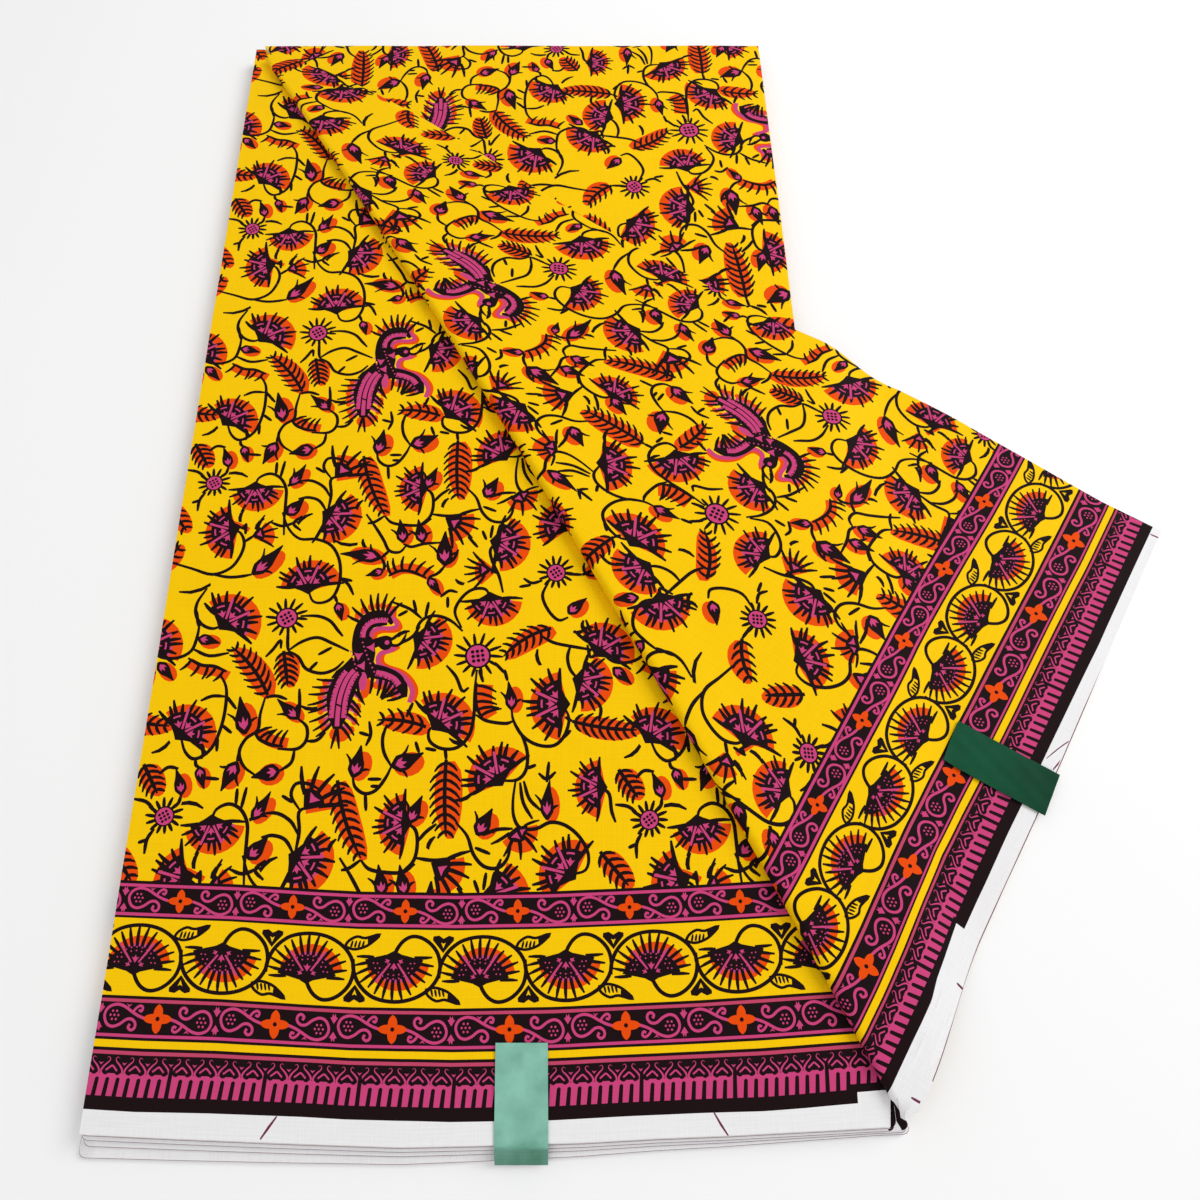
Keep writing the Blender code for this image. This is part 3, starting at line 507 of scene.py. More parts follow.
# One medallion: a fan in a ring that starts on the ring before it and hooks in to its stem, a leaf and a heart
def medallionShapes(way):
    ring = smoothPath([(-18.6, -3.0), (-18.2, 1.0), (-17.0, 4.6), (-15.4, 7.4), (-13.0, 10.0), (-9.8, 12.2),
                       (-5.0, 13.6), (0.6, 13.8), (6.4, 12.4), (11.6, 9.2), (15.0, 4.8), (16.2, 0.0), (15.2, -5.4),
                       (12.4, -9.4), (8.6, -12.0), (4.6, -12.6), (1.2, -10.8), (-1.1, -7.6), (-2.3, -4.4)], 3)
    shapes = [(13, "black", stroke(ring, 1.6))]
    fan = placed(medallionFan(), (-2.2, -3.6), slip=(1.6, 0.4))
    shapes += [(layer + 12, ink, part) for layer, ink, part in fan]
    beside = (-1.6, 2.7) if way > 0 else (-3.2, 2.5)
    leaf = smoothPath([(13.8, 6.6), (15.2, 9.0), (18.4, 10.9), (21.8, 10.3), (27.6, 12.0), (23.8, 8.0),
                       (20.4, 6.2), (17.0, 5.6), (13.8, 6.6)], 3)
    parts = [stroke(leaf, 1.2), np.array([(22.6, 10.3), (27.8, 12.2), (24.0, 8.5), (22.8, 7.9)])]
    parts += [spike((16.2 + 1.5 * k, 6.4), (16.8 + 1.5 * k, 9.2), 0.95) for k in range(4)]
    shapes += [(13, "black", part + beside) for part in parts]
    heart = np.array([(17.2, -5.9), (14.9, -8.8), (12.9, -11.2), (13.1, -12.8), (15.4, -13.2), (17.2, -11.9),
                      (19.4, -13.2), (21.4, -12.6), (21.4, -11.2), (19.2, -8.6)])
    return shapes + [(13, "black", heart),
                     (17, "yellow", np.array([(17.2, -8.0), (16.3, -10.3), (17.2, -9.8), (18.1, -10.3)]))]


# Its fan: orange behind rays that all but reach the ring; pink spokes, arrows and rows of dots on a wide black body
def medallionFan():
    rim = np.array([11.7, 10.8, 9.7, 8.9, 8.8, 8.9, 9.7, 10.8, 11.7])
    shapes = [(1, "orange", sector(12.8, 78, 13, 1.0)), (1.5, "magenta", sector(9.8, 84, 13, 1.0)),
              (2, "black", sector(rim, 87, 9, 3.2, [120, 180, 240]))]
    for k, a in enumerate(np.linspace(-92, 92, 15)):
        tip = 15.9 - 0.9 * math.cos(1.3 * k) + (1.2 if abs(a) < 30 else 0.0)
        shapes.append((2, "black", spike(polar(8.0, a), polar(tip, a), 1.5, 0.02)))
    for a in (-36, 34):
        shapes.append((3, "magenta", stroke(polar(np.linspace(2.6, 12.2, 3), a), 0.85, (0.8, 1))))
    for a, size in ((-66, 0.8), (0, 1.0), (64, 0.8)):
        shapes.append((3, "magenta", crown(1.9, 4.6 * size, 4.0 * size, 5.2 * size, a)))
    for radius, count, span in ((6.9, 9, 72), (8.4, 11, 76)):
        shapes += [(3, "magenta", dot(polar(radius, a), 0.36, 5)) for a in np.linspace(-span, span, count)]
    return shapes


# The lyre row over the comb: two curling strokes from a point, an inverted V with round feet, a small arrowhead
def lyreShapes():
    neck = smoothPath([(0.75, 17.9), (0.4, 19.1), (0.95, 20.3), (2.05, 21.5), (3.1, 22.4), (3.45, 23.3),
                       (2.8, 23.95), (2.0, 23.4)], 3)
    peak = smoothPath([(2.15, 19.4), (3.3, 20.2), (4.53, 21.0), (5.7, 20.1), (6.6, 19.2)], 3)
    pink = [stroke(neck, 0.7, (1.3, 1)), stroke(neck * (-1, 1), 0.7, (1.3, 1)),
            np.array([(0, 21.1), (-0.95, 22.2), (0, 21.9), (0.95, 22.2)]), stroke(peak, 0.64)]
    feet = [dot((x, 18.75), 1.15, 8, 0.8) for x in (2.2, 6.85)]
    return [(13, "magenta", ring) for ring in pink] + [(12, "black", ring) for ring in feet]


# A band as a long ring with a point every 4 mm, so that it can follow the cloth
def bandRing(low, high, start, end):
    along = np.arange(start, end + 4, 4.0)
    return np.vstack([np.stack([along, 0 * along + low], 1), np.stack([along, 0 * along + high], 1)[::-1]])


# The places of a row that starts at first and goes on by pitch, from before start to past end, with their numbers
def rowPlaces(first, pitch, start, end, past=2):
    numbers = range(math.floor((start - first) / pitch) - 1, math.ceil((end - first) / pitch) + past)
    return [(k, first + k * pitch) for k in numbers]


# The border's shapes between two places along the selvedge, from where its flowers and medallions start
def borderShapes(start, end, layout):
    shapes = [(layer, ink, bandRing(low, high, start - 8, end + 8)) for low, high, ink, layer in bands]

    def add(parts, size, at):
        shapes.extend((layer, ink, ring * size + at) for layer, ink, ring in parts)

    arrow = np.array([(0, 1.2), (-1.5, 3.4), (-0.8, 3.6), (-0.5, 4.9), (0, 3.9), (0.5, 4.9), (0.8, 3.6),
                      (1.5, 3.4)])
    for name, middle, size in (("upperFlowers", 81.5, 0.9), ("lowerFlowers", 37.5, 1.0)):
        first, pitch = layout[name]
        for _, x in rowPlaces(first, pitch, start, end):
            for faces in (90, 270):
                add(placed(scrollHalf(), (0, 0), faces), (pitch / 46.8, 1), (x, middle))
            add(flowerShapes(size), 1, (x, middle))
            for way in (1, -1):
                add([(13, "magenta", arrow)], (1, way), (x + pitch / 2, middle + 0.2 * way))
    first, pitch = layout["medallions"]
    for k, x in rowPlaces(first, pitch, start, end):
        up = 1 if k % 2 == 0 else -1
        add(medallionShapes(up), (pitch / 34.3, 0.92 * up), (x, 59.6 - 0.6 * up))
    first, pitch, lean = layout["comb"]
    for _, x in rowPlaces(first, 2.25 * pitch, start, end, 1):
        add(lyreShapes(), 1, (x, 0))
    for k, x in rowPlaces(first, pitch, start, end, 1):
        top = 21.0 if k % 9 == 0 else 17.2
        low, high = x - lean / 2, x + lean / 2
        shapes.append((14, "black", np.array([(low - 0.88, 10.2), (low + 0.88, 10.2), (high + 0.74, top - 0.5),
                                              (high, top), (high - 0.74, top - 0.5)])))
    return shapes


# Whether points lie within edges that close on themselves: the winding number, counted over them, isn't zero
def insideEdges(points, start, end):
    x, y = points[:, 0][:, None], points[:, 1][:, None]
    (startX, startY), (endX, endY) = start.T, end.T
    left = (endX - startX) * (y - startY) - (x - startX) * (endY - startY)
    up = (startY <= y) & (endY > y) & (left > 0)
    down = (startY > y) & (endY <= y) & (left < 0)
    return (up.sum(1) - down.sum(1)) != 0


# The same for a ring of points, each joined to the next
def insideRing(points, ring):
    return insideEdges(points, ring, np.roll(ring, -1, axis=0))


# Points of a square grid over a box
def gridOver(low, high, spacing):
    return np.stack(np.meshgrid(*(np.arange(low[k], high[k], spacing) for k in range(2))), -1).reshape(-1, 2)


# Delaunay triangles over points, with the given edges kept: the points and the triangles
def triangulated(points, edges, nearness):
    made = delaunay_2d_cdt([Vector(p) for p in points.tolist()], edges.tolist(), [], 0, nearness, False)
    return np.array([tuple(v) for v in made[0]]), np.array(made[2])


# Triangles turned to face up (1) or down (-1), by the sign of the cross product of two of their sides
def facing(spots, triangles, way):
    a, b, c = (spots[triangles[:, k]] for k in range(3))
    wrong = way * ((b - a)[:, 0] * (c - a)[:, 1] - (b - a)[:, 1] * (c - a)[:, 0]) < 0
    triangles[wrong] = triangles[wrong][:, ::-1]
    return triangles


# The edges that only one triangle has, each in that triangle's own direction
def rimOf(triangles):
    ways = np.vstack([triangles[:, [0, 1]], triangles[:, [1, 2]], triangles[:, [2, 0]]])
    _, first, counts = np.unique(np.sort(ways, 1), axis=0, return_index=True, return_counts=True)
    return ways[first[counts == 1]]


# Two triangles for each edge of a rim, over to its points' partners on the other side
def rimFaces(rim, partner):
    near, far = rim[:, 1], rim[:, 0]
    return np.vstack([np.stack([near, far, partner[far]], 1), np.stack([near, partner[far], partner[near]], 1)])


# Triangles over an outline, cut along every shape's edge: the points, triangles and the ink of each
def cutPrint(outline, shapes, spacing, extra):
    low, high = outline.min(0), outline.max(0)
    kept = [s for s in shapes if (s[2].max(0) > low).all() and (s[2].min(0) < high).all()]
    grid = gridOver(low, high, spacing)
    grid = grid[insideRing(grid, outline)] + 0.013
    points, edges, count = [], [], 0
    for line, closed in [(ring, 1) for ring in [outline] + [s[2] for s in kept]] + [(line, 0) for line in extra]:
        number = np.arange(len(line)) + count
        points.append(line)
        edges.append(np.stack([number, np.roll(number, -1)], 1)[:None if closed else -1])
        count += len(line)
    spots, triangles = triangulated(np.vstack(points + [grid]), np.vstack(edges), 1e-4)
    middles = spots[triangles].mean(1)
    inside = insideRing(middles, outline)
    triangles, middles = facing(spots, triangles[inside], 1), middles[inside]
    order = np.argsort(middles[:, 0])
    across = middles[order, 0]
    ink = np.zeros(len(triangles), int)
    for layer, name, ring in sorted(kept, key=lambda s: s[0]):
        first, last = np.searchsorted(across, [ring[:, 0].min(), ring[:, 0].max()])
        near = order[first:last]
        near = near[(middles[near, 1] > ring[:, 1].min()) & (middles[near, 1] < ring[:, 1].max())]
        ink[near[insideRing(middles[near], ring)]] = inkNumber[name]
    used, again = np.unique(triangles, return_inverse=True)
    return spots[used], again.reshape(-1, 3), ink


# A mesh object from whole arrays, with its inks as a colour for each corner and its flat place as a UV map
def makeCloth(name, points, triangles, ink, flat):
    mesh = bpy.data.meshes.new(name)
    mesh.vertices.add(len(points))
    mesh.vertices.foreach_set("co", (points + corner).astype(np.float32).ravel())
    mesh.loops.add(triangles.size)
    mesh.loops.foreach_set("vertex_index", triangles.astype(np.int32).ravel())
    mesh.polygons.add(len(triangles))
    mesh.polygons.foreach_set("loop_start", (3 * np.arange(len(triangles))).astype(np.int32))
    mesh.polygons.foreach_set("use_smooth", np.full(len(triangles), True))
    mesh.update(calc_edges=True)
    mesh.set_sharp_from_angle(angle=math.radians(50))
    table = np.array([tuple(c) + (1.0,) for c in inks.values()], np.float32)
    colour = mesh.color_attributes.new("inkAndPaintedShade", "FLOAT_COLOR", "CORNER")
    colour.data.foreach_set("color", np.repeat(table[ink], 3, axis=0).ravel())
    layer = mesh.uv_layers.new(name="cloth")
    layer.data.foreach_set("uv", flat[triangles.ravel()].astype(np.float32).ravel())
    made = bpy.data.objects.new(name, mesh)
    bpy.context.scene.collection.objects.link(made)
    print("made", name, len(triangles), "triangles")
    return made


# The plain under side, in millimetres: its grid, how far that stays off the outline, its place on the UV map
underSide = {"spacing": 5.0, "clear": 1.5, "aside": 700.0, "uvScale": 0.0007, "uvStart": (0.01, 0.02)}


# A thin sheet of cloth: its printed side is place(flat, 0), its other side place(flat, thick) on coarse triangles
# that share the outline's points, and a rim joins the two
def clothPiece(name, outline, shapes, place, thick, spacing=5.0, extra=(), under="yellow"):
    spots, triangles, ink = cutPrint(outline, shapes, spacing, extra)
    rim = rimOf(triangles)
    border = np.unique(rim)
    coarse = gridOver(outline.min(0) + underSide["spacing"] / 2, outline.max(0), underSide["spacing"])
    coarse = np.vstack([coarse] + [line[::2] for line in extra])
    coarse = coarse[insideRing(coarse, outline)]
    gap = np.sqrt(((coarse[:, None, :] - spots[border][None, ::2, :]) ** 2).sum(2)).min(1)
    coarse = coarse[gap > underSide["clear"]]
    number = np.full(len(spots), -1)
    number[border] = np.arange(len(border))
    below, back = triangulated(np.vstack([spots[border], coarse]), number[rim], 1e-7)
    middles = below[back].mean(1)
    kept = insideRing(middles, outline)
    atRim = (back < len(border)).all(1)
    kept[atRim] = insideEdges(middles[atRim], spots[rim[:, 0]], spots[rim[:, 1]])
    back = facing(below, back[kept], -1)
    sides = rimFaces(rim, number + len(spots))
    plain = [np.full(len(part), inkNumber[name]) for part, name in ((back, under), (sides, "white"))]
    flat = np.vstack([spots, below + (0, underSide["aside"])]) * underSide["uvScale"] + underSide["uvStart"]
    points = np.vstack([place(spots, 0.0), place(below, thick)])
    faces = np.vstack([triangles, back + len(spots), sides])
    return makeCloth(name, points, faces, np.concatenate([ink, *plain]), flat)


# Small waves of hanging cloth: sums of sines of the place, in metres, never more than size
def softWaves(x, y, size, seed=0.0):
    wave = (np.sin(61 * x + 23 * y + seed) + np.sin(37 * x - 52 * y + 1.7 * seed + 1.1)
            + 0.6 * np.sin(95 * x + 71 * y + 2.3 * seed) + 0.5 * np.sin(-120 * x + 88 * y + 0.7 * seed))
    return size * (0.5 + wave / 6.2)


# Soft ridges and troughs along short lines: height times a bell over the distance to the line, faded at its ends
def creased(spots, table):
    lift = np.zeros(len(spots))
    for x0, y0, x1, y1, wide, high in table:
        way = np.array([x1 - x0, y1 - y0])
        length = np.linalg.norm(way)
        way = way / length
        away = spots - (x0, y0)
        along = (away @ way) / length
        aside = away @ np.array([-way[1], way[0]]) + 0.06 * length * np.sin(3.0 * along)
        lift += high * np.exp(-(aside / wide) ** 2) * eased((along + 0.15) / 0.4) * eased((1.15 - along) / 0.4)
    return lift * 0.001


# A piece's own waves and creases, added up, at places in metres and the same or its flat places in millimetres
def relief(piece, plan, spots):
    return softWaves(plan[:, 0], plan[:, 1], piece["wave"], piece["seed"]) + creased(spots, piece["creases"])


# Moved forwards by the front edge's own table over the width, less and less towards the far end
def frontBowed(plan):
    ahead = readOff(fold["frontEdge"], plan[:, 0]) * (1 - np.clip(plan[:, 1] / fold["length"], 0, 1))
    return plan - np.stack([0 * ahead, ahead], 1)


# The fold's distance from the straight diagonal: a parabola, and a shift at the near end
def foldBow(along):
    share = along / diagonal
    return 4 * fold["bow"] * share * (1 - share) + fold["shift"] * (1 - share)


# How far the flap reaches from the straight diagonal, up to its far corner and back by a wavy edge
def flapWidth(along):
    near, far = along / apexAt, (diagonal - along) / (diagonal - apexAt)
    wavy = readOff(fold["farEdge"], 1 - far)
    return np.minimum(near, far) * flapDepth + fold["edgeBow"] * np.sin(np.pi * np.clip(near, 0, 1)) + wavy


# Flat at both tips of the fold and full where the flap is wide
def rollRadius(along):
    tip = (fold["packetWall"] + fold["gap"]) / 2
    return tip + (fold["rollRadius"] - tip) * eased(flapWidth(along) / fold["fullRoll"])


# Places in the plan from their distances along the straight diagonal and across it
def foldPlan(along, across, start=0.0):
    return start + along[:, None] * alongWay + across[:, None] * acrossWay


# A plan from the near right corner, in metres, as the flap's own millimetres: along its selvedge and in from it
def flapSpots(plan):
    return 1000 * np.stack([plan @ edgeWay, plan @ inwardWay], 1)


# The other way round: the flap's own millimetres to their places in the plan
def flapPlan(spots):
    return nearRight + spots[:, :1] * 0.001 * edgeWay + spots[:, 1:] * 0.001 * inwardWay


# The print's repeats over a box, each point moved by the panel's own second-order spread of the repeat
def fieldOver(box, spread):
    shapes = []
    one = fieldRepeat()
    low, high = np.array(box[:2]), np.array(box[2:])
    for i in range(-2, 4):
        for j in range(-3, 6):
            shift = np.array([i * repeat["across"], j * repeat["up"]])
            middle = spread(np.array([repeat["middle"]]) + shift)[0]
            if (middle <= low - repeat["reach"]).any() or (middle >= high + repeat["reach"]).any():
                continue
            for layer, ink, ring in one:
                moved = spread(ring + shift)
                if (moved.max(0) > low).all() and (moved.min(0) < high).all():
                    shapes.append((layer, ink, moved))
    return shapes


# A second-order spread: constant, x, y, xx, xy and yy, of hundreds of millimetres from (150, 200)
def spreadOf(piece):
    def spread(points):
        x, y = (points[:, 0] - 150) / 100, (points[:, 1] - 200) / 100
        terms = np.stack([0 * x + 1, x, y, x * x, x * y, y * y], 1)
        return np.stack([terms @ np.array(piece["along"]), terms @ np.array(piece["inward"])], 1)
    return spread


print("print charted")

# The lower panel: the top plait of the stack, left of the fold
lower = {"thick": 0.0005, "wave": 0.0006, "inset": 0.3, "tucked": (0.0026, 0.018, 0.29, 0.02),
    "layout": {"upperFlowers": (26.4, 46.3), "lowerFlowers": (23.9, 46.15), "medallions": (13.6, 34.7),
        "comb": (-4.7, 4.044, 0.7)},
    "along": [(31, 0.0), (68, 0.5), (104, 0.9), (140, 1.1), (177, 1.1), (213, 1.0), (250, 0.9), (286, 0.5)],
    "lowRows": [(0, 2.8), (20, 1.7), (48, 1.2), (72, 0.4), (84, 0.0), (100, -0.8), (140, -1.7), (178, -1.2),
        (207, 0.2), (238, 1.35), (261, 1.9), (276, 2.9), (291, 4.1), (312, 5.6)],
    "highRows": [(0, 3.6), (16, 3.0), (48, 1.9), (72, 0.5), (80, 0.0), (100, -1.0), (140, -1.6), (178, -1.0),
        (207, 0.1), (239, 1.5), (263, 2.9), (279, 3.9), (312, 5.8)],
    "creases": [(20, 470, 60, 430, 5, 0.35), (14, 330, 92, 352, 7, 0.4), (40, 250, 130, 232, 9, 0.45),
        (150, 190, 206, 150, 6, 0.35), (24, 150, 110, 170, 8, 0.4), (205, 116, 246, 62, 6, 0.45),
        (60, 96, 64, 20, 7, 0.3), (180, 88, 196, 14, 6, 0.35)],
    "steps": [(17, "black", [(294.6, 8.0), (294.6, 12.6), (304.0, 12.6), (316.0, 12.6), (316.0, 8.0)]),
        (18.5, "white", [(297.8, -6.0), (297.8, 9.8), (306.0, 9.8), (316.0, 9.8), (316.0, -6.0)])],
    "marks": [([(74.7, 9.0), (72, 5.3), (69.2, 1.2)], 1.0), ([(242.0, 8.4), (244.6, 3.9), (247.0, 0.3)], 0.9)],
    "seed": 0.4, "clearOfFold": (0.004, 0.03)}


# Level on the stack, with small waves clear of the fold; its near right corner is drawn in under the fold
def placeLower(spots, down):
    plan = spots * 0.001
    across = (plan - nearRight) @ acrossWay
    start, over = lower["clearOfFold"]
    wave = relief(lower, plan, spots) * eased((foldBow((plan - nearRight) @ alongWay) - start - across) / over)
    drawn, depth, starts, blend = lower["tucked"]
    plan[:, 0] -= drawn * np.clip(1 - plan[:, 1] / depth, 0, 1) * eased((plan[:, 0] - starts) / blend)
    return np.column_stack([frontBowed(plan), panelTop - down + wave])


# The field with the chart's bow put back and the panel's own taken off, and the border, whose rows follow their
# own tables of how far they wander, from the lowest row to the main band
def lowerShapes():
    def ahead(x, y):
        return 1000 * readOff(fold["frontEdge"], x / 1000) * (1 - np.clip(y / 585, 0, 1))

    def spread(points):
        x, y = points.T
        return np.stack([x, y + rowBow(x) + ahead(x, y)], 1)

    def bordered(points):
        x, y = points.T
        low, high = (readOff(lower[key], x) for key in ("lowRows", "highRows"))
        share = np.clip((y - 6) / 39, 0, 1)
        return np.stack([x + readOff(lower["along"], x), y + low + (high - low) * share + ahead(x, y)], 1)

    shapes = [(layer, ink, bordered(ring)) for layer, ink, ring in borderShapes(0, 312, lower["layout"])]
    shapes += [(layer, ink, bordered(np.array(ring))) for layer, ink, ring in lower["steps"]]
    shapes += [s for s in fieldOver((0, 84, 312, 585), spread) if nearFold(s[2])]
    return shapes + [(19, "plum", stroke(line, width, (0.6, 0.6))) for line, width in lower["marks"]]


# Whether a ring reaches the seen side of the fold, within 12 mm
def nearFold(ring):
    plan = ring * 0.001 - nearRight
    across = plan @ acrossWay - foldBow(np.clip(plan @ alongWay, 0, diagonal))
    return -across.min() > -0.012


# The panel's four sides, just inside its full size, with a point every step
def lowerRing():
    edge, step, wide, long = lower["inset"], 4, 78, 146
    right, far = 312 - edge, 585 - edge
    return np.vstack([np.stack([np.arange(edge, right, step)[:wide], np.full(wide, edge)], 1),
                      np.stack([np.full(long, right), np.arange(edge, far, step)[:long]], 1),
                      np.stack([np.arange(right, edge, -step)[:wide], np.full(wide, far)], 1),
                      np.stack([np.full(long, edge), np.arange(far, edge + 1, -step)[:long]], 1)])


lowerOutline = lowerRing()
lowerCloth = clothPiece("lower_cloth", lowerOutline, lowerShapes(), placeLower, lower["thick"])
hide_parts("lower_panel")
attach(lowerCloth, "root")

# The flap, turned over the fold: its millimetres run along its selvedge and in from it
flap = {"borderRead": 0.008, "fieldRead": 0.0156, "thick": 0.0005, "wave": 0.0008, "tip": 0.008, "inset": 0.0006,
    "edgeRound": 0.0011, "along": [185.48, -93.17, -5.75, -3.73, -1.52, -1.84], "inward": [176.85, 3.38, -104.02,
        -0.74, -5.33, 2.38],
    "layout": {"upperFlowers": (5.2, 44.4), "lowerFlowers": (1.3, 45.7), "medallions": (15.6, 33.2),
        "comb": (-14.2, 4.044, -0.9)},
    "rowsAt": [0, 40, 60, 80, 105, 130, 150, 185, 210, 240, 270, 300],
    "rows": [(7, [0.5, 0.5, 0.8, 0.4, 0.0, 0.0, -0.4, -1.0, -1.3, -1.8, -1.8, -2.0]),
        (26, [-1.2, -1.2, -0.7, 1.0, 2.3, 1.2, 0.6, 0.0, 0.0, -0.1, -1.0, -1.1]),
        (44, [-1.0, -1.0, -0.7, 0.0, 1.5, 1.5, 0.8, 0.2, 0.0, -0.5, -1.0, -1.3]),
        (75, [0.0, 0.0, -0.5, -0.4, -0.2, 0.0, 0.3, 1.0, 0.5, -0.3, -1.5, -1.9])],
    "creases": [(332, 418, 402, 300, 10, 0.55), (246, 478, 330, 432, 9, 0.5), (402, 262, 442, 190, 8, 0.5),
        (346, 128, 374, 176, 6, 0.35), (372, 92, 394, 142, 5, 0.3), (216, 500, 262, 546, 7, 0.4),
        (292, 336, 352, 298, 8, 0.45), (420, 334, 456, 286, 7, 0.45), (330, 250, 352, 196, 7, -0.35),
        (236, 424, 286, 384, 6, -0.3)],
    "borderFrom": [-20, 6.1, 10.7, 18.4, 24.8, 27.1, 29.8, 32.0, 44.9, 74.2, 89.0, 100],
    "borderTo": [-17.6, 8.6, 13.3, 19.6, 25.2, 26.8, 29.6, 31.2, 45.2, 74.8, 90.0, 101],
    "under": [(0.0, 0.004), (0.15, 0.0024), (0.35, 0.0016), (0.55, 0.0026), (0.75, 0.0008), (1.0, 0.0)],
    "marks": [([(14.2, -1.8), (13.7, 3.7)], 1.0), ([(61, -1), (61.6, 3.0)], 1.0),
        ([(304.9, -1.0), (304.4, 4.1)], 0.8), ([(186.9, -2.2), (179, 1.6), (170.8, 4.8)], 0.5),
        ([(186.9, -2.2), (177, -1.6), (167.6, 0.5)], 0.8)],
    "blocks": [(17, "black",
        [(85.0, 8), (85.0, 13.8), (60, 15.0), (40, 14.3), (15, 15.0), (-16, 15.0), (-16, 8), (40, 8)]), (18.5,
        "white", [(83.2, 2), (83.2, 11.6), (66, 11.9), (58, 12.1), (50, 11.2), (38, 10.9), (20, 10.6),
        (-16, 10.5), (-16, 2), (20, 2), (50, 2)])],
    "seed": 2.2, "clearOfRoll": (0.002, 0.02), "slopeStep": 0.0004, "edgeDrop": 0.35}


# How far the flap has come down beside the stack, and its middle surface there
def flapLevel(plan):
    dropped = eased((plan[:, 0] - fold["width"] - fold["dropStart"]) / fold["dropLength"])
    return dropped, flapMiddle + (halfWall - flapMiddle) * dropped


# The cloth's middle surface over the flap: level on the stack, up at the roll, down past the stack's side
def flapLift(plan, pastRoll, radius):
    dropped, level = flapLevel(plan)
    atRoll = 1 - eased(pastRoll / fold["rollEase"])
    rise = (packetFloor + halfWall + 2 * radius - flapMiddle) * atRoll * (1 - dropped)
    start, over = flap["clearOfRoll"]
    return level + rise + relief(flap, plan, plan * 1000) * eased((pastRoll - start) / over)


# Flat cloth to its place: past the fold's line it goes half round the roll and then a stub to the right
def placeFlap(spots, down):
    plan = flapPlan(spots)
    along = np.clip((plan - nearRight) @ alongWay, 0, diagonal)
    across = (plan - nearRight) @ acrossWay
    radius = rollRadius(along)
    reach = foldBow(along) + radius + halfWall
    past = across - reach
    step = flap["slopeStep"]
    here = flapLift(plan, past, radius)
    rightwards = flapLift(plan + (step, 0), past + step * acrossWay[0], radius)
    farwards = flapLift(plan + (0, step), past + step * acrossWay[1], radius)
    normal = np.column_stack([-(rightwards - here) / step, -(farwards - here) / step, 0 * here + 1])
    normal /= np.linalg.norm(normal, axis=1, keepdims=True)
    edge = np.minimum(flapWidth(along) - across, 0.4)
    rounded = fold["packetWall"] * flap["edgeDrop"] * np.clip(1 - edge / flap["edgeRound"], 0, 1) ** 2
    rounded = rounded * (along > apexAt)
    laid = np.column_stack([plan, here]) + normal * (halfWall - down - rounded)[:, None]
    turn = np.clip(-past, 0, None) / (radius + halfWall)
    outer = radius + halfWall - down
    stub = np.clip(turn - np.pi, 0, None) * (radius + halfWall)
    turn = np.minimum(turn, np.pi)
    rollPlan = foldPlan(along, reach - outer * np.sin(turn) + stub, nearRight)
    rolled = np.column_stack([rollPlan, packetFloor + halfWall + radius + outer * np.cos(turn)])
    return np.where((past < 0)[:, None], rolled, laid)


# The flap's cut in its own millimetres: out along its two edges, and back along the end of the stub
def flapOutline(out=lambda share: 0 * share, inset=0.0):
    tipShare = flap["tip"] / (flapDepth + fold["short"])
    nearTip, farTip = apexAt * tipShare, diagonal - (diagonal - apexAt) * tipShare
    along = np.concatenate([np.linspace(nearTip, apexAt, 78), np.linspace(apexAt, farTip, 130)[1:]])
    radius = rollRadius(along)
    reach = foldBow(along) + radius + halfWall
    outEdge = flapWidth(along) - flap["inset"] + out(along / apexAt) * (along < apexAt) - inset
    outEdge = np.maximum(outEdge, reach + fold["panelWall"])
    inEdge = reach - np.pi * (radius + halfWall) - fold["stub"]
    places = np.concatenate([np.stack([along, outEdge], 1), np.stack([along, inEdge], 1)[::-1]])
    return flapSpots(foldPlan(places[:, 0], places[:, 1]))


# The chart was read at one height; each point moves along the line to the eye, down to the flap's own height
def seenLower(ring, height):
    eye = np.array(view["eye"])
    chart = plan = flapPlan(ring)
    for _ in range(4):
        own = flapLevel(plan)[1] + halfWall
        plan = eye[:2] + (chart - eye[:2]) * ((eye[2] - own) / (eye[2] - height))[:, None]
    return flapSpots(plan - nearRight)


# The border, each row moved by its own table, the field, the strip's marks and the blocks at the selvedge
def flapShapes():
    shapes = []
    heights = [row[0] for row in flap["rows"]]
    for layer, ink, ring in borderShapes(-12, 330, flap["layout"]):
        moved = np.stack([ring[:, 0], np.interp(ring[:, 1], flap["borderFrom"], flap["borderTo"])], 1)
        seen = seenLower(moved, flap["borderRead"])
        if ring[:, 1].max() < 24.5 and np.ptp(ring[:, 0]) < 60:
            seen[:, 0] = ring[:, 0]
        rows = np.array([np.interp(seen[:, 0], flap["rowsAt"], row) for _, row in flap["rows"]])
        at = np.clip(np.interp(seen[:, 1], heights, np.arange(4)), 0, 2.999)
        k, number = at.astype(int), np.arange(len(at))
        seen[:, 1] += rows[k, number] + (rows[k + 1, number] - rows[k, number]) * (at - k)
        shapes.append((layer, ink, seen))
    for layer, ink, ring in fieldOver((-30, 60, 340, 600), spreadOf(flap)):
        shapes.append((layer, ink, seenLower(ring, flap["fieldRead"])))
    shapes += [(19, "plum", stroke(smoothPath(path, 4), width, (0.6, 0.6))) for path, width in flap["marks"]]
    return shapes + [(layer, ink, np.array(ring)) for layer, ink, ring in flap["blocks"]]


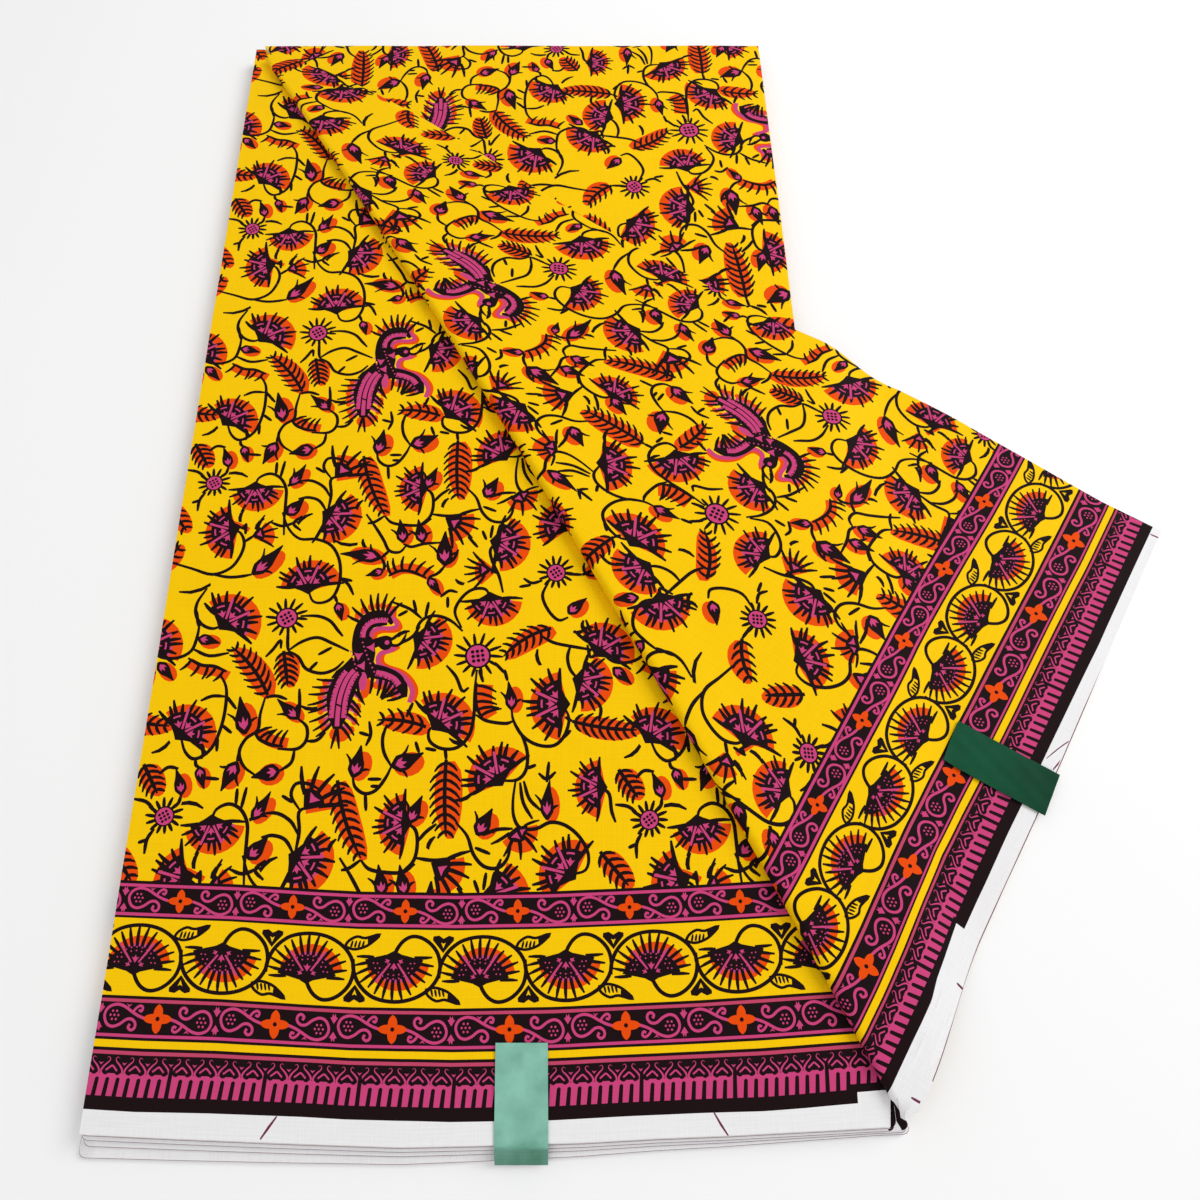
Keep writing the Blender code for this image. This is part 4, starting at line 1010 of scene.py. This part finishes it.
# Lines parallel to the fold over the roll and just past it, close enough for the cloth to turn smoothly
def rollLines():
    along = np.linspace(0.012, diagonal - 0.012, 150)
    radius = rollRadius(along)
    reach = foldBow(along) + radius + halfWall
    lines = [foldPlan(along, reach - np.pi * (radius + halfWall) * share) for share in np.linspace(0.0, 1.0, 12)]
    lines += [foldPlan(along, reach + past * 0.001) for past in (1.5, 3.0, 5.0, 8.0)]
    return [flapSpots(line) for line in lines]


# What lies within an outline of each line, where that is more than 2 points
def insideLines(lines, outline):
    kept = [line[insideRing(line, outline)] for line in lines]
    return [line for line in kept if len(line) > 2]


flapRing = flapOutline()
flapCloth = clothPiece("flap_cloth", flapRing, flapShapes(), placeFlap, flap["thick"], 4.5,
                       insideLines(rollLines(), flapRing), "white")
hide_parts("turned_flap")
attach(flapCloth, "root")

# The upper packet, right of the roll
upper = {"thick": 0.0005, "wave": 0.0006, "tip": 0.007,
    "creases": [(190, 566, 262, 540, 7, 0.4), (284, 470, 300, 410, 5, 0.35), (252, 566, 296, 500, 6, 0.35),
        (150, 572, 176, 520, 6, 0.3)],
    "along": [50.09, 101.54, -5.91, -0.91, 1.13, -2.95], "inward": [96.16, 2.26, 100.98, 1.97, 1.18, 7.05],
    "inset": 0.0006, "seed": 4.1, "clearOfFlap": (0.316, 0.03), "edgeDrop": 0.0008, "edgeRound": 0.0014,
    "clear": 0.0006, "seenFrom": 0.29, "turnedAbout": (312.0, 600.0)}


# Level on the lower panel, its right edge rounded down, with small waves where no flap lies on it
def placeUpper(spots, down):
    plan = spots * 0.001
    start, over = upper["clearOfFlap"]
    wave = relief(upper, plan, spots) * eased(((plan - nearRight) @ edgeWay - start) / over)
    edge = np.minimum(fold["width"] - plan[:, 0], fold["length"] - plan[:, 1])
    rounded = upper["edgeDrop"] * np.clip(1 - edge / upper["edgeRound"], 0, 1) ** 2
    return np.column_stack([plan, packetTop - down + wave - rounded])


# Its right and far sides, drawn in by inset, and back along the end of the roll's stub with a clear gap
def upperOutline(inset):
    along = np.linspace(0.0, diagonal, 200)
    clear = rollRadius(along) + halfWall + fold["stub"] + fold["packetWall"] / 4 + fold["gap"] + upper["clear"]
    left = foldPlan(along, foldBow(along) + clear, nearRight)
    right, far = fold["width"] - inset, fold["length"] - inset
    y = np.linspace(np.interp(upper["tip"], right - left[:, 0], left[:, 1]), far, 130)
    x = np.interp(y, left[:, 1], left[:, 0])
    side = np.stack([np.full(130, right), y], 1)
    farSide = np.stack([np.linspace(right, x[-1], 70), np.full(70, far)], 1)[1:-1]
    return 1000 * np.concatenate([side, farSide, np.stack([x, y], 1)[::-1]])


# The field turned half round, without what the flap hides
def upperShapes():
    spread = spreadOf(upper)
    shapes = fieldOver((0, 200, 312, 585), lambda points: np.array(upper["turnedAbout"]) - spread(points))
    return [s for s in shapes if ((s[2] * 0.001 - nearRight) @ edgeWay).max() > upper["seenFrom"]]


upperRing = upperOutline(upper["inset"])
upperCloth = clothPiece("upper_cloth", upperRing, upperShapes(), placeUpper, upper["thick"])
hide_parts("upper_panel")
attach(upperCloth, "root")


# A layer under one of the three cloths, at a depth below its print, which shows only as an edge
def underSheet(name, ring, place, depth, thick, extra=(), shapes=()):
    made = clothPiece(name, ring, list(shapes), lambda spots, down: place(spots, depth + down), thick, 5.0, extra)
    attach(made, "root")
    return made


# White along the selvedge, and a thin plum line of painted shade just inside the part of the outline that shows it
def selvedgeAndEdgeShade(ring, line, thin):
    return [(10, "white", bandRing(-20, 30, ring[:, 0].min() - 8, ring[:, 0].max() + 8)),
            (19, "plum", strip(line, 0.04, thin))]


# A layer under the flap: its own selvedge, and the same lines over the roll as the flap, every second one
def flapLayer(name, out, inset, depth, thick, thin):
    ring = flapOutline(out, inset)
    return underSheet(name, ring, placeFlap, depth, thick,
                      insideLines(rollLines()[::2], ring), selvedgeAndEdgeShade(ring, ring[3:60], thin))


# Depths and thicknesses in metres; the flap's two show past its near edge by its "under" table, the lower by less
# The flap layers' last number and the 0.35 at lower_under_cloth are the widths, in millimetres, of their lines of
# painted shade
layers = [
    flapLayer("flap_under_cloth", lambda share: readOff(flap["under"], share), 0.0002, 0.0008, 0.0005, 0.42),
    flapLayer("flap_lower_cloth", lambda share: 0.6 * readOff(flap["under"], 1 - 0.8 * share), 0.0004, 0.0016,
              0.0006, 0.10),
    underSheet("upper_under_cloth", upperOutline(0.0003), placeUpper, 0.0008, 0.0005),
    underSheet("upper_lower_cloth", upperOutline(0.0006), placeUpper, 0.0016, 0.0006),
    underSheet("lower_under_cloth", lowerOutline, placeLower, 0.0007, 0.0004,
               (), selvedgeAndEdgeShade(lowerOutline, lowerOutline[:78], 0.35))]

# The hidden plaits: one thin rounded pad for each layer. The tables give how far they reach past the panel, in
# millimetres, from the bottom up; shadeLined numbers the pads that get a line of painted shade along their front
stack = {"pads": 16, "corner": 0.0025, "foot": (7.0, 15.0), "shadeLined": (4, 7, 11, 15), "left": [2.6, 1.3, 2.2, 0.6,
        1.6, 0.9, 1.2, 0.2], "right": [0.6, 0.2, 0.9, 0.1, 0.7, 0.3, 0.5, 0.2],
    "frontLeft": [9.6, 9.5, 9.3, 9.4, 9.1, 5.2, 5.0, 4.9, 2.9, 2.6, 2.7, 2.5, 1.0, 0.9, 0.7, 0.6],
    "frontRight": [4.2, 4.1, 4.0, 3.9, 3.8, 3.1, 3.0, 2.9, 2.2, 2.1, 2.0, 1.9, 1.0, 0.8, 0.7, 0.6],
    "within": (0.04, 0.96), "rounded": 0.0002, "inner": 0.1}


# A rounded four-sided outline, once round from its near left corner; the foot reaches out at the near right one
def padOutline(left, right, nearLeft, nearRightOut, far, foot):
    turns = np.linspace(0, np.pi / 2, 4)
    side = fold["width"] + right
    corners = ((-left, -nearLeft, np.pi, (1, 1), 90), (side, -nearRightOut, 1.5 * np.pi, (-1, 1), 120),
               (side, far, 0.0, (-1, -1), 90), (-left, far, 0.5 * np.pi, (1, -1), 120))
    arcs = [np.array([x, y]) + stack["corner"] * np.array(way)
            + stack["corner"] * np.stack([np.cos(start + turns), np.sin(start + turns)], 1)
            for x, y, start, way, _ in corners]
    points = []
    for k, arc in enumerate(arcs):
        steps = np.linspace(0, 1, corners[k][4])[1:-1, None]
        points += [arc, arc[-1] + (arcs[(k + 1) % 4][0] - arc[-1]) * steps]
    points = np.concatenate(points)
    reach, back = np.array(stack["foot"]) * 0.001
    points[:, 0] += foot * reach * np.clip(1 - points[:, 1] / back, 0, 1) * (points[:, 0] > fold["width"] - 0.004)
    return frontBowed(points)


# White along the front, the border's colours at the near sides, and the field's colours scattered further on
def stackInks(points, seed):
    x, y = points[:, 0] * 1000, points[:, 1] * 1000
    scattered = (np.sin(0.9 * y + 1.9 * seed) + np.sin(0.37 * y + 0.71 * seed * seed + 1.0)
                 + 0.8 * np.sin(1.7 * y + seed))
    far = np.sin(0.8 * x + 1.3 * seed) + np.sin(0.31 * x + seed * seed)
    ink = np.full(len(x), inkNumber["yellow"])
    ink[scattered < -1.35] = inkNumber["orange"]
    ink[scattered < -1.7] = inkNumber["magenta"]
    ink[scattered > 1.0] = inkNumber["black"]
    ink[(y > 575) & (far > 1.0)] = inkNumber["black"]
    for low, high, name, _ in bands:
        ink[(y > low + 2) & (y <= high + 2)] = inkNumber[name]
    ink[y < 8.0] = inkNumber["white"]
    ink[(x > 312.4) & (y > 1.5) & (y < 16)] = inkNumber["black"]
    return ink


# Pads on each other, each three rings of its outline, closed by an inner ring and a middle point at both ends; the
# far side is drawn in so that all of them make one round fold
def plaitedStack():
    count, points, faces, ink = stack["pads"], [], [], []
    thick = fold["stackHeight"] / count
    half = fold["stackHeight"] / 2
    low, high = stack["within"]
    total = 0
    for k in range(count):
        share = (k + 0.5) / count * 8 - 0.5
        vary = 0.35 * math.sin(5.1 * k)
        left, right = (max(np.interp(share, np.arange(8), stack[name]) + varied, 0.1)
                       for name, varied in (("left", vary), ("right", 0.3 * vary)))
        sides = 0.001 * np.array([left, right, stack["frontLeft"][k], stack["frontRight"][k]])
        foot = 1.0 - 0.03 * k if k < 10 else 0.0
        middle = (k + 0.5) * thick
        far = fold["length"] + math.sqrt(max(half ** 2 - (middle - half) ** 2, 0)) - half
        rings = []
        for z, drawn in ((low, stack["rounded"]), (0.5, 0.0), (high, stack["rounded"])):
            ring = padOutline(*(sides - drawn), far - drawn, foot)
            rings.append(np.column_stack([ring, np.full(len(ring), (k + z) * thick)]))
        size = len(rings[0])
        centre = rings[0][:, :2].mean(0)
        inner = rings[0][:, :2] + (centre - rings[0][:, :2]) * stack["inner"]
        bottom, top = (k + low) * thick, (k + high) * thick
        block = np.vstack([np.column_stack([inner, np.full(size, bottom)]), *rings,
                           np.column_stack([inner, np.full(size, top)]), [[*centre, bottom], [*centre, top]]])
        a = np.arange(size)
        b = np.roll(a, -1)
        for n in range(4):
            start, above = total + n * size, total + (n + 1) * size
            faces += [np.stack([start + a, start + b, above + b], 1),
                      np.stack([start + a, above + b, above + a], 1)]
        last = total + 4 * size
        faces += [np.stack([total + b, total + a, 0 * a + last + size], 1),
                  np.stack([last + a, last + b, 0 * a + last + size + 1], 1)]
        ringInk = stackInks(rings[1], k)
        x, y = rings[1][:, 0], rings[1][:, 1]
        # Painted shade: where the front is white, the lower half of a shadeLined pad's side is plum, as the shade
        # between layers
        hasShadeLine = (y < 0.002) & (k in stack["shadeLined"]) & (ringInk == inkNumber["white"])
        shadeLined = np.where(hasShadeLine, inkNumber["plum"], ringInk)
        over = np.where((x > 0.309) & (y < 0.018) & (k >= 9), inkNumber["black"], ringInk)
        ink += [ringInk] * 4 + [shadeLined] * 2 + [over] * 2 + [ringInk, over]
        points.append(block)
        total += len(block)
    points, faces, ink = np.vstack(points), np.vstack(faces), np.concatenate(ink)
    flat = points[:, :2] * 0.7 + (0.05, 0.05) + points[:, 2:] * (0.0, 30.0)
    made = makeCloth("plaited_stack", points, faces, ink, flat)
    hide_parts("folded_stack")
    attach(made, "root")
    return made


plaits = plaitedStack()

# The two bare label tapes
tapes = {"width": 0.0205, "wall": 0.0005, "frontMiddle": 0.1683, "frontReach": 0.0347, "frontBend": 0.0016,
    "lean": [(0.0052, 0.0062), (0.0078, 0.0026)], "flapAlong": 0.1562, "flapReach": 0.0445, "flapOver": 0.003,
    "flapSkew": -2.9, "wrinkle": 0.00012}


# A grid of middle points thickened along its normals, closed round its border
def tapePiece(name, grid):
    rows, columns = grid.shape[:2]
    normal = np.cross(np.gradient(grid, axis=1), np.gradient(grid, axis=0))
    normal /= np.linalg.norm(normal, axis=2, keepdims=True)
    normal *= np.sign(normal[..., 2].mean())
    over, below = grid + normal * tapes["wall"] / 2, grid - normal * tapes["wall"] / 2
    points = np.concatenate([over.reshape(-1, 3), below.reshape(-1, 3)])
    count = rows * columns
    number = np.arange(count).reshape(rows, columns)
    a, b, c, d = (s.ravel() for s in (number[:-1, :-1], number[:-1, 1:], number[1:, 1:], number[1:, :-1]))
    top = np.vstack([np.stack([a, b, c], 1), np.stack([a, c, d], 1)])
    away = np.cross(points[top[:, 1]] - points[top[:, 0]], points[top[:, 2]] - points[top[:, 0]])[:, 2].mean()
    if away < 0:
        top = top[:, ::-1]
    faces = np.vstack([top, top[:, ::-1] + count, rimFaces(rimOf(top), np.arange(count) + count)])
    uvGrid = np.meshgrid(np.linspace(0.05, 0.30, columns), np.linspace(0.05, 0.60, rows))
    across, down = (s.ravel() for s in uvGrid)
    flat = np.stack([np.concatenate([across, across + 0.4]), np.concatenate([down, down])], 1)
    made = makeCloth(name, points, faces, np.zeros(len(faces), int), flat)
    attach(made, "root")
    return made


# Flat on the border, round a small bend, and leaning down in front of the selvedges
def frontTape():
    high = panelTop + fold["gap"] + lower["wave"] * 0.5 + tapes["wall"] / 2
    turns = np.linspace(np.pi / 2, np.radians(22), 7)
    arc = tapes["frontBend"] * np.column_stack([-np.cos(turns), np.sin(turns) - 1]) + (0.0, high)
    flat = np.column_stack([np.linspace(tapes["frontReach"], 0.001, 22), np.full(22, high)])
    profile = np.concatenate([flat, arc, [(-forward, height) for forward, height in tapes["lean"]]])
    path = frontBowed(np.column_stack([np.full(len(profile), tapes["frontMiddle"]), profile[:, 0]]))
    sideways = np.linspace(-tapes["width"] / 2, tapes["width"] / 2, 15)
    grid = np.zeros((len(profile), 15, 3))
    grid[..., 0] = path[:, :1] + sideways
    grid[..., 1] = path[:, 1:]
    grid[..., 2] = profile[:, 1:]
    grid[..., 2] += tapes["wrinkle"] * (1 + np.sin(grid[..., 0] * 900 + 3) * np.sin(grid[..., 1] * 420))
    return grid


# Over the flap's border and just past its edge, on the flap's own surface
def flapTape():
    skew = math.radians(tapes["flapSkew"])
    inward = inwardWay * math.cos(skew) + edgeWay * math.sin(skew)
    side = np.array([inward[1], -inward[0]])
    start = nearRight + edgeWay * tapes["flapAlong"]
    places = np.linspace(tapes["flapReach"], -tapes["flapOver"], 34)
    sideways = np.linspace(-tapes["width"] / 2, tapes["width"] / 2, 15)
    plan = (start + places[:, None, None] * inward + sideways[None, :, None] * side).reshape(-1, 2)
    raised = fold["gap"] * 2 + tapes["wall"] / 2
    grid = placeFlap(flapSpots(plan - nearRight), -raised).reshape(len(places), 15, 3)
    grid[..., 2] += tapes["wrinkle"] * (1 + np.sin(grid[..., 0] * 700) * np.sin(grid[..., 1] * 530))
    return grid


frontLabel = tapePiece("front_label_tape", frontTape())
flapLabel = tapePiece("flap_label_tape", flapTape())
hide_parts("front_tape")
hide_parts("flap_tape")
print("tapes made")


# A new material's own tree and shader
def nodesOf(name):
    material = bpy.data.materials.new(name)
    material.use_nodes = True
    return material, material.node_tree, material.node_tree.nodes["Principled BSDF"]


# Each input set to its number or colour, or joined to another node's output
def fill(tree, node, inputs):
    for key, value in inputs.items():
        if isinstance(value, bpy.types.NodeSocket):
            tree.links.new(value, node.inputs[key])
        else:
            node.inputs[key].default_value = value


# A node with its settings made and its inputs filled
def addNode(tree, kind, inputs, **settings):
    node = tree.nodes.new("ShaderNode" + kind)
    for key, value in settings.items():
        setattr(node, key, value)
    fill(tree, node, inputs)
    return node


cotton = {"threads": 1500.0, "roughness": 0.62, "sheen": 0.01, "gloss": 0.06, "mottle": 0.05, "bump": 0.22,
          "streaks": ((22.0, 1.0), (1.0, 22.0)), "streakScale": 60.0, "uvScale": 0.7, "relief": 0.0002}


# Waxed cotton: the ink of each face, a little lighter and darker along its threads, under a fine plain weave
def printedCotton():
    material, tree, shader = nodesOf("printedCotton")
    ink = addNode(tree, "Attribute", {}, attribute_name="inkAndPaintedShade")
    place = addNode(tree, "UVMap", {}, uv_map="cloth").outputs["UV"]
    streaks, waves = [], []
    for stretch in cotton["streaks"]:
        scale = [cotton["streakScale"] / cotton["uvScale"] * s for s in (*stretch, 1)]
        spread = addNode(tree, "Mapping", {"Vector": place, "Scale": scale})
        noise = addNode(tree, "TexNoise", {"Vector": spread.outputs["Vector"], "Scale": 1.0, "Detail": 3.0})
        streaks.append(noise.outputs["Fac"])
    both = addNode(tree, "Math", dict(enumerate(streaks)), operation="ADD").outputs["Value"]
    shade = addNode(tree, "MapRange", {"Value": both, "From Min": 0.6, "From Max": 1.4,
                                       "To Min": 1 - cotton["mottle"], "To Max": 1 + cotton["mottle"]})
    toned = addNode(tree, "VectorMath", {0: ink.outputs["Color"], "Scale": shade.outputs["Result"]},
                    operation="SCALE")
    for way in ("X", "Y"):
        scale = [cotton["threads"] / cotton["uvScale"] / 6.283] * 3
        spread = addNode(tree, "Mapping", {"Vector": place, "Scale": scale})
        wave = addNode(tree, "TexWave", {"Vector": spread.outputs["Vector"], "Scale": 1.0, "Distortion": 1.2,
                                         "Detail": 1.0}, bands_direction=way)
        waves.append(wave.outputs["Fac"])
    crossed = addNode(tree, "Math", dict(enumerate(waves)), operation="MULTIPLY").outputs["Value"]
    raised = addNode(tree, "Math", {0: crossed, 1: both}, operation="ADD").outputs["Value"]
    bump = addNode(tree, "Bump", {"Height": raised, "Strength": cotton["bump"], "Distance": cotton["relief"]})
    fill(tree, shader, {"Base Color": toned.outputs["Vector"], "Normal": bump.outputs["Normal"],
                        "Roughness": cotton["roughness"], "Specular IOR Level": cotton["gloss"],
                        "Sheen Weight": cotton["sheen"], "Sheen Roughness": 0.5})
    return material


# Both satins: their light and dark tone, the stretch of the tape over which painted shade turns it dark, and their
# gloss
satins = {"mintSatin": ((0.25, 0.54, 0.43), (0.03, 0.20, 0.12), (0.42, 0.62), 0.3),
          "greenSatin": ((0.002, 0.075, 0.031), (0.001, 0.045, 0.019), (0.30, 0.60), 0.08)}


# Satin tape: fine ribs across it, and painted shade and sheen in its colour: darker along it towards and over the
# edge it bends across, with lighter and darker noise patches
def satinTape(name):
    light, dark, shadedStretch, gloss = satins[name]
    material, tree, shader = nodesOf(name)
    place = addNode(tree, "UVMap", {}, uv_map="cloth").outputs["UV"]
    noise = addNode(tree, "TexNoise", {"Vector": place, "Scale": 7.0, "Detail": 4.0})
    parts = addNode(tree, "SeparateXYZ", {"Vector": place})
    along = addNode(tree, "MapRange", {"Value": parts.outputs["Y"], "From Min": shadedStretch[0],
                                       "From Max": shadedStretch[1], "To Min": 0.0, "To Max": 0.6})
    both = addNode(tree, "Math", {0: noise.outputs["Fac"], 1: along.outputs["Result"]}, operation="ADD")
    tone = addNode(tree, "MapRange", {"Value": both.outputs["Value"], "From Min": 0.35, "From Max": 1.1})
    # Painted shade and sheen: the tone mixes from light to dark by noise and along the shaded stretch
    mix = addNode(tree, "Mix", {"Factor": tone.outputs["Result"], 6: light + (1,), 7: dark + (1,)},
                  data_type="RGBA")
    wave = addNode(tree, "TexWave", {"Vector": place, "Scale": 45.0}, bands_direction="Y")
    bump = addNode(tree, "Bump", {"Height": wave.outputs["Fac"], "Strength": 0.25, "Distance": 0.0002})
    fill(tree, shader, {"Base Color": mix.outputs[2], "Normal": bump.outputs["Normal"], "Roughness": 0.42,
                        "Specular IOR Level": gloss})
    return material


cottonMaterial = printedCotton()
for piece in (lowerCloth, flapCloth, upperCloth, *layers, plaits):
    piece.data.materials.append(cottonMaterial)
frontLabel.data.materials.append(satinTape("mintSatin"))
flapLabel.data.materials.append(satinTape("greenSatin"))

# The pale floor, the white surroundings and two soft lights: each light's place, size and energy
studio = {"floor": 6.0, "paper": (0.92, 0.94), "surroundings": 0.62,
          "mainLight": ((1.0, 0.5, 1.25), 0.9, 14), "fillLight": ((-0.8, -0.5, 1.6), 1.4, 4)}
floorMesh = bpy.data.meshes.new("floor")
floorCorners = [(x * studio["floor"], y * studio["floor"], 0) for x, y in ((-1, -1), (1, -1), (1, 1), (-1, 1))]
floorMesh.from_pydata(floorCorners, [], [(0, 1, 2, 3)])
floor = bpy.data.objects.new("floor", floorMesh)
bpy.context.scene.collection.objects.link(floor)
paper, tree, shader = nodesOf("palePaper")
grain = addNode(tree, "TexNoise", {"Scale": 40.0})
tone = addNode(tree, "MapRange", {"Value": grain.outputs["Fac"], "To Min": studio["paper"][0],
                                  "To Max": studio["paper"][1]})
fill(tree, shader, {"Base Color": tone.outputs["Result"], "Roughness": 0.9})
floorMesh.materials.append(paper)

world = bpy.data.worlds.new("studio")
bpy.context.scene.world = world
world.use_nodes = True
background = world.node_tree.nodes["Background"]
fill(world.node_tree, background, {"Color": (1, 1, 1, 1), "Strength": studio["surroundings"]})

# Square soft lights, aimed at the origin
for name in ("mainLight", "fillLight"):
    at, size, energy = studio[name]
    light = bpy.data.lights.new(name, "AREA")
    light.size = size
    light.energy = energy
    lamp = bpy.data.objects.new(name, light)
    lamp.location = at
    lamp.rotation_euler = (-Vector(at)).to_track_quat("-Z", "Y").to_euler()
    bpy.context.scene.collection.objects.link(lamp)

cameraData = bpy.data.cameras.new("camera")
cameraData.sensor_width = view["sensor"]
cameraData.lens = view["focal"] / view["frame"] * view["sensor"]
cameraData.shift_x = view["sideways"] / view["frame"]
cameraData.clip_start = 0.01
camera = bpy.data.objects.new("camera", cameraData)
camera.location = Vector(np.array(view["eye"]) + corner)
camera.rotation_euler = Euler((math.pi / 2 - view["pitch"], 0, 0))
bpy.context.scene.collection.objects.link(camera)
bpy.context.scene.camera = camera
bpy.context.scene.view_settings.view_transform = "Standard"
print("scene set")
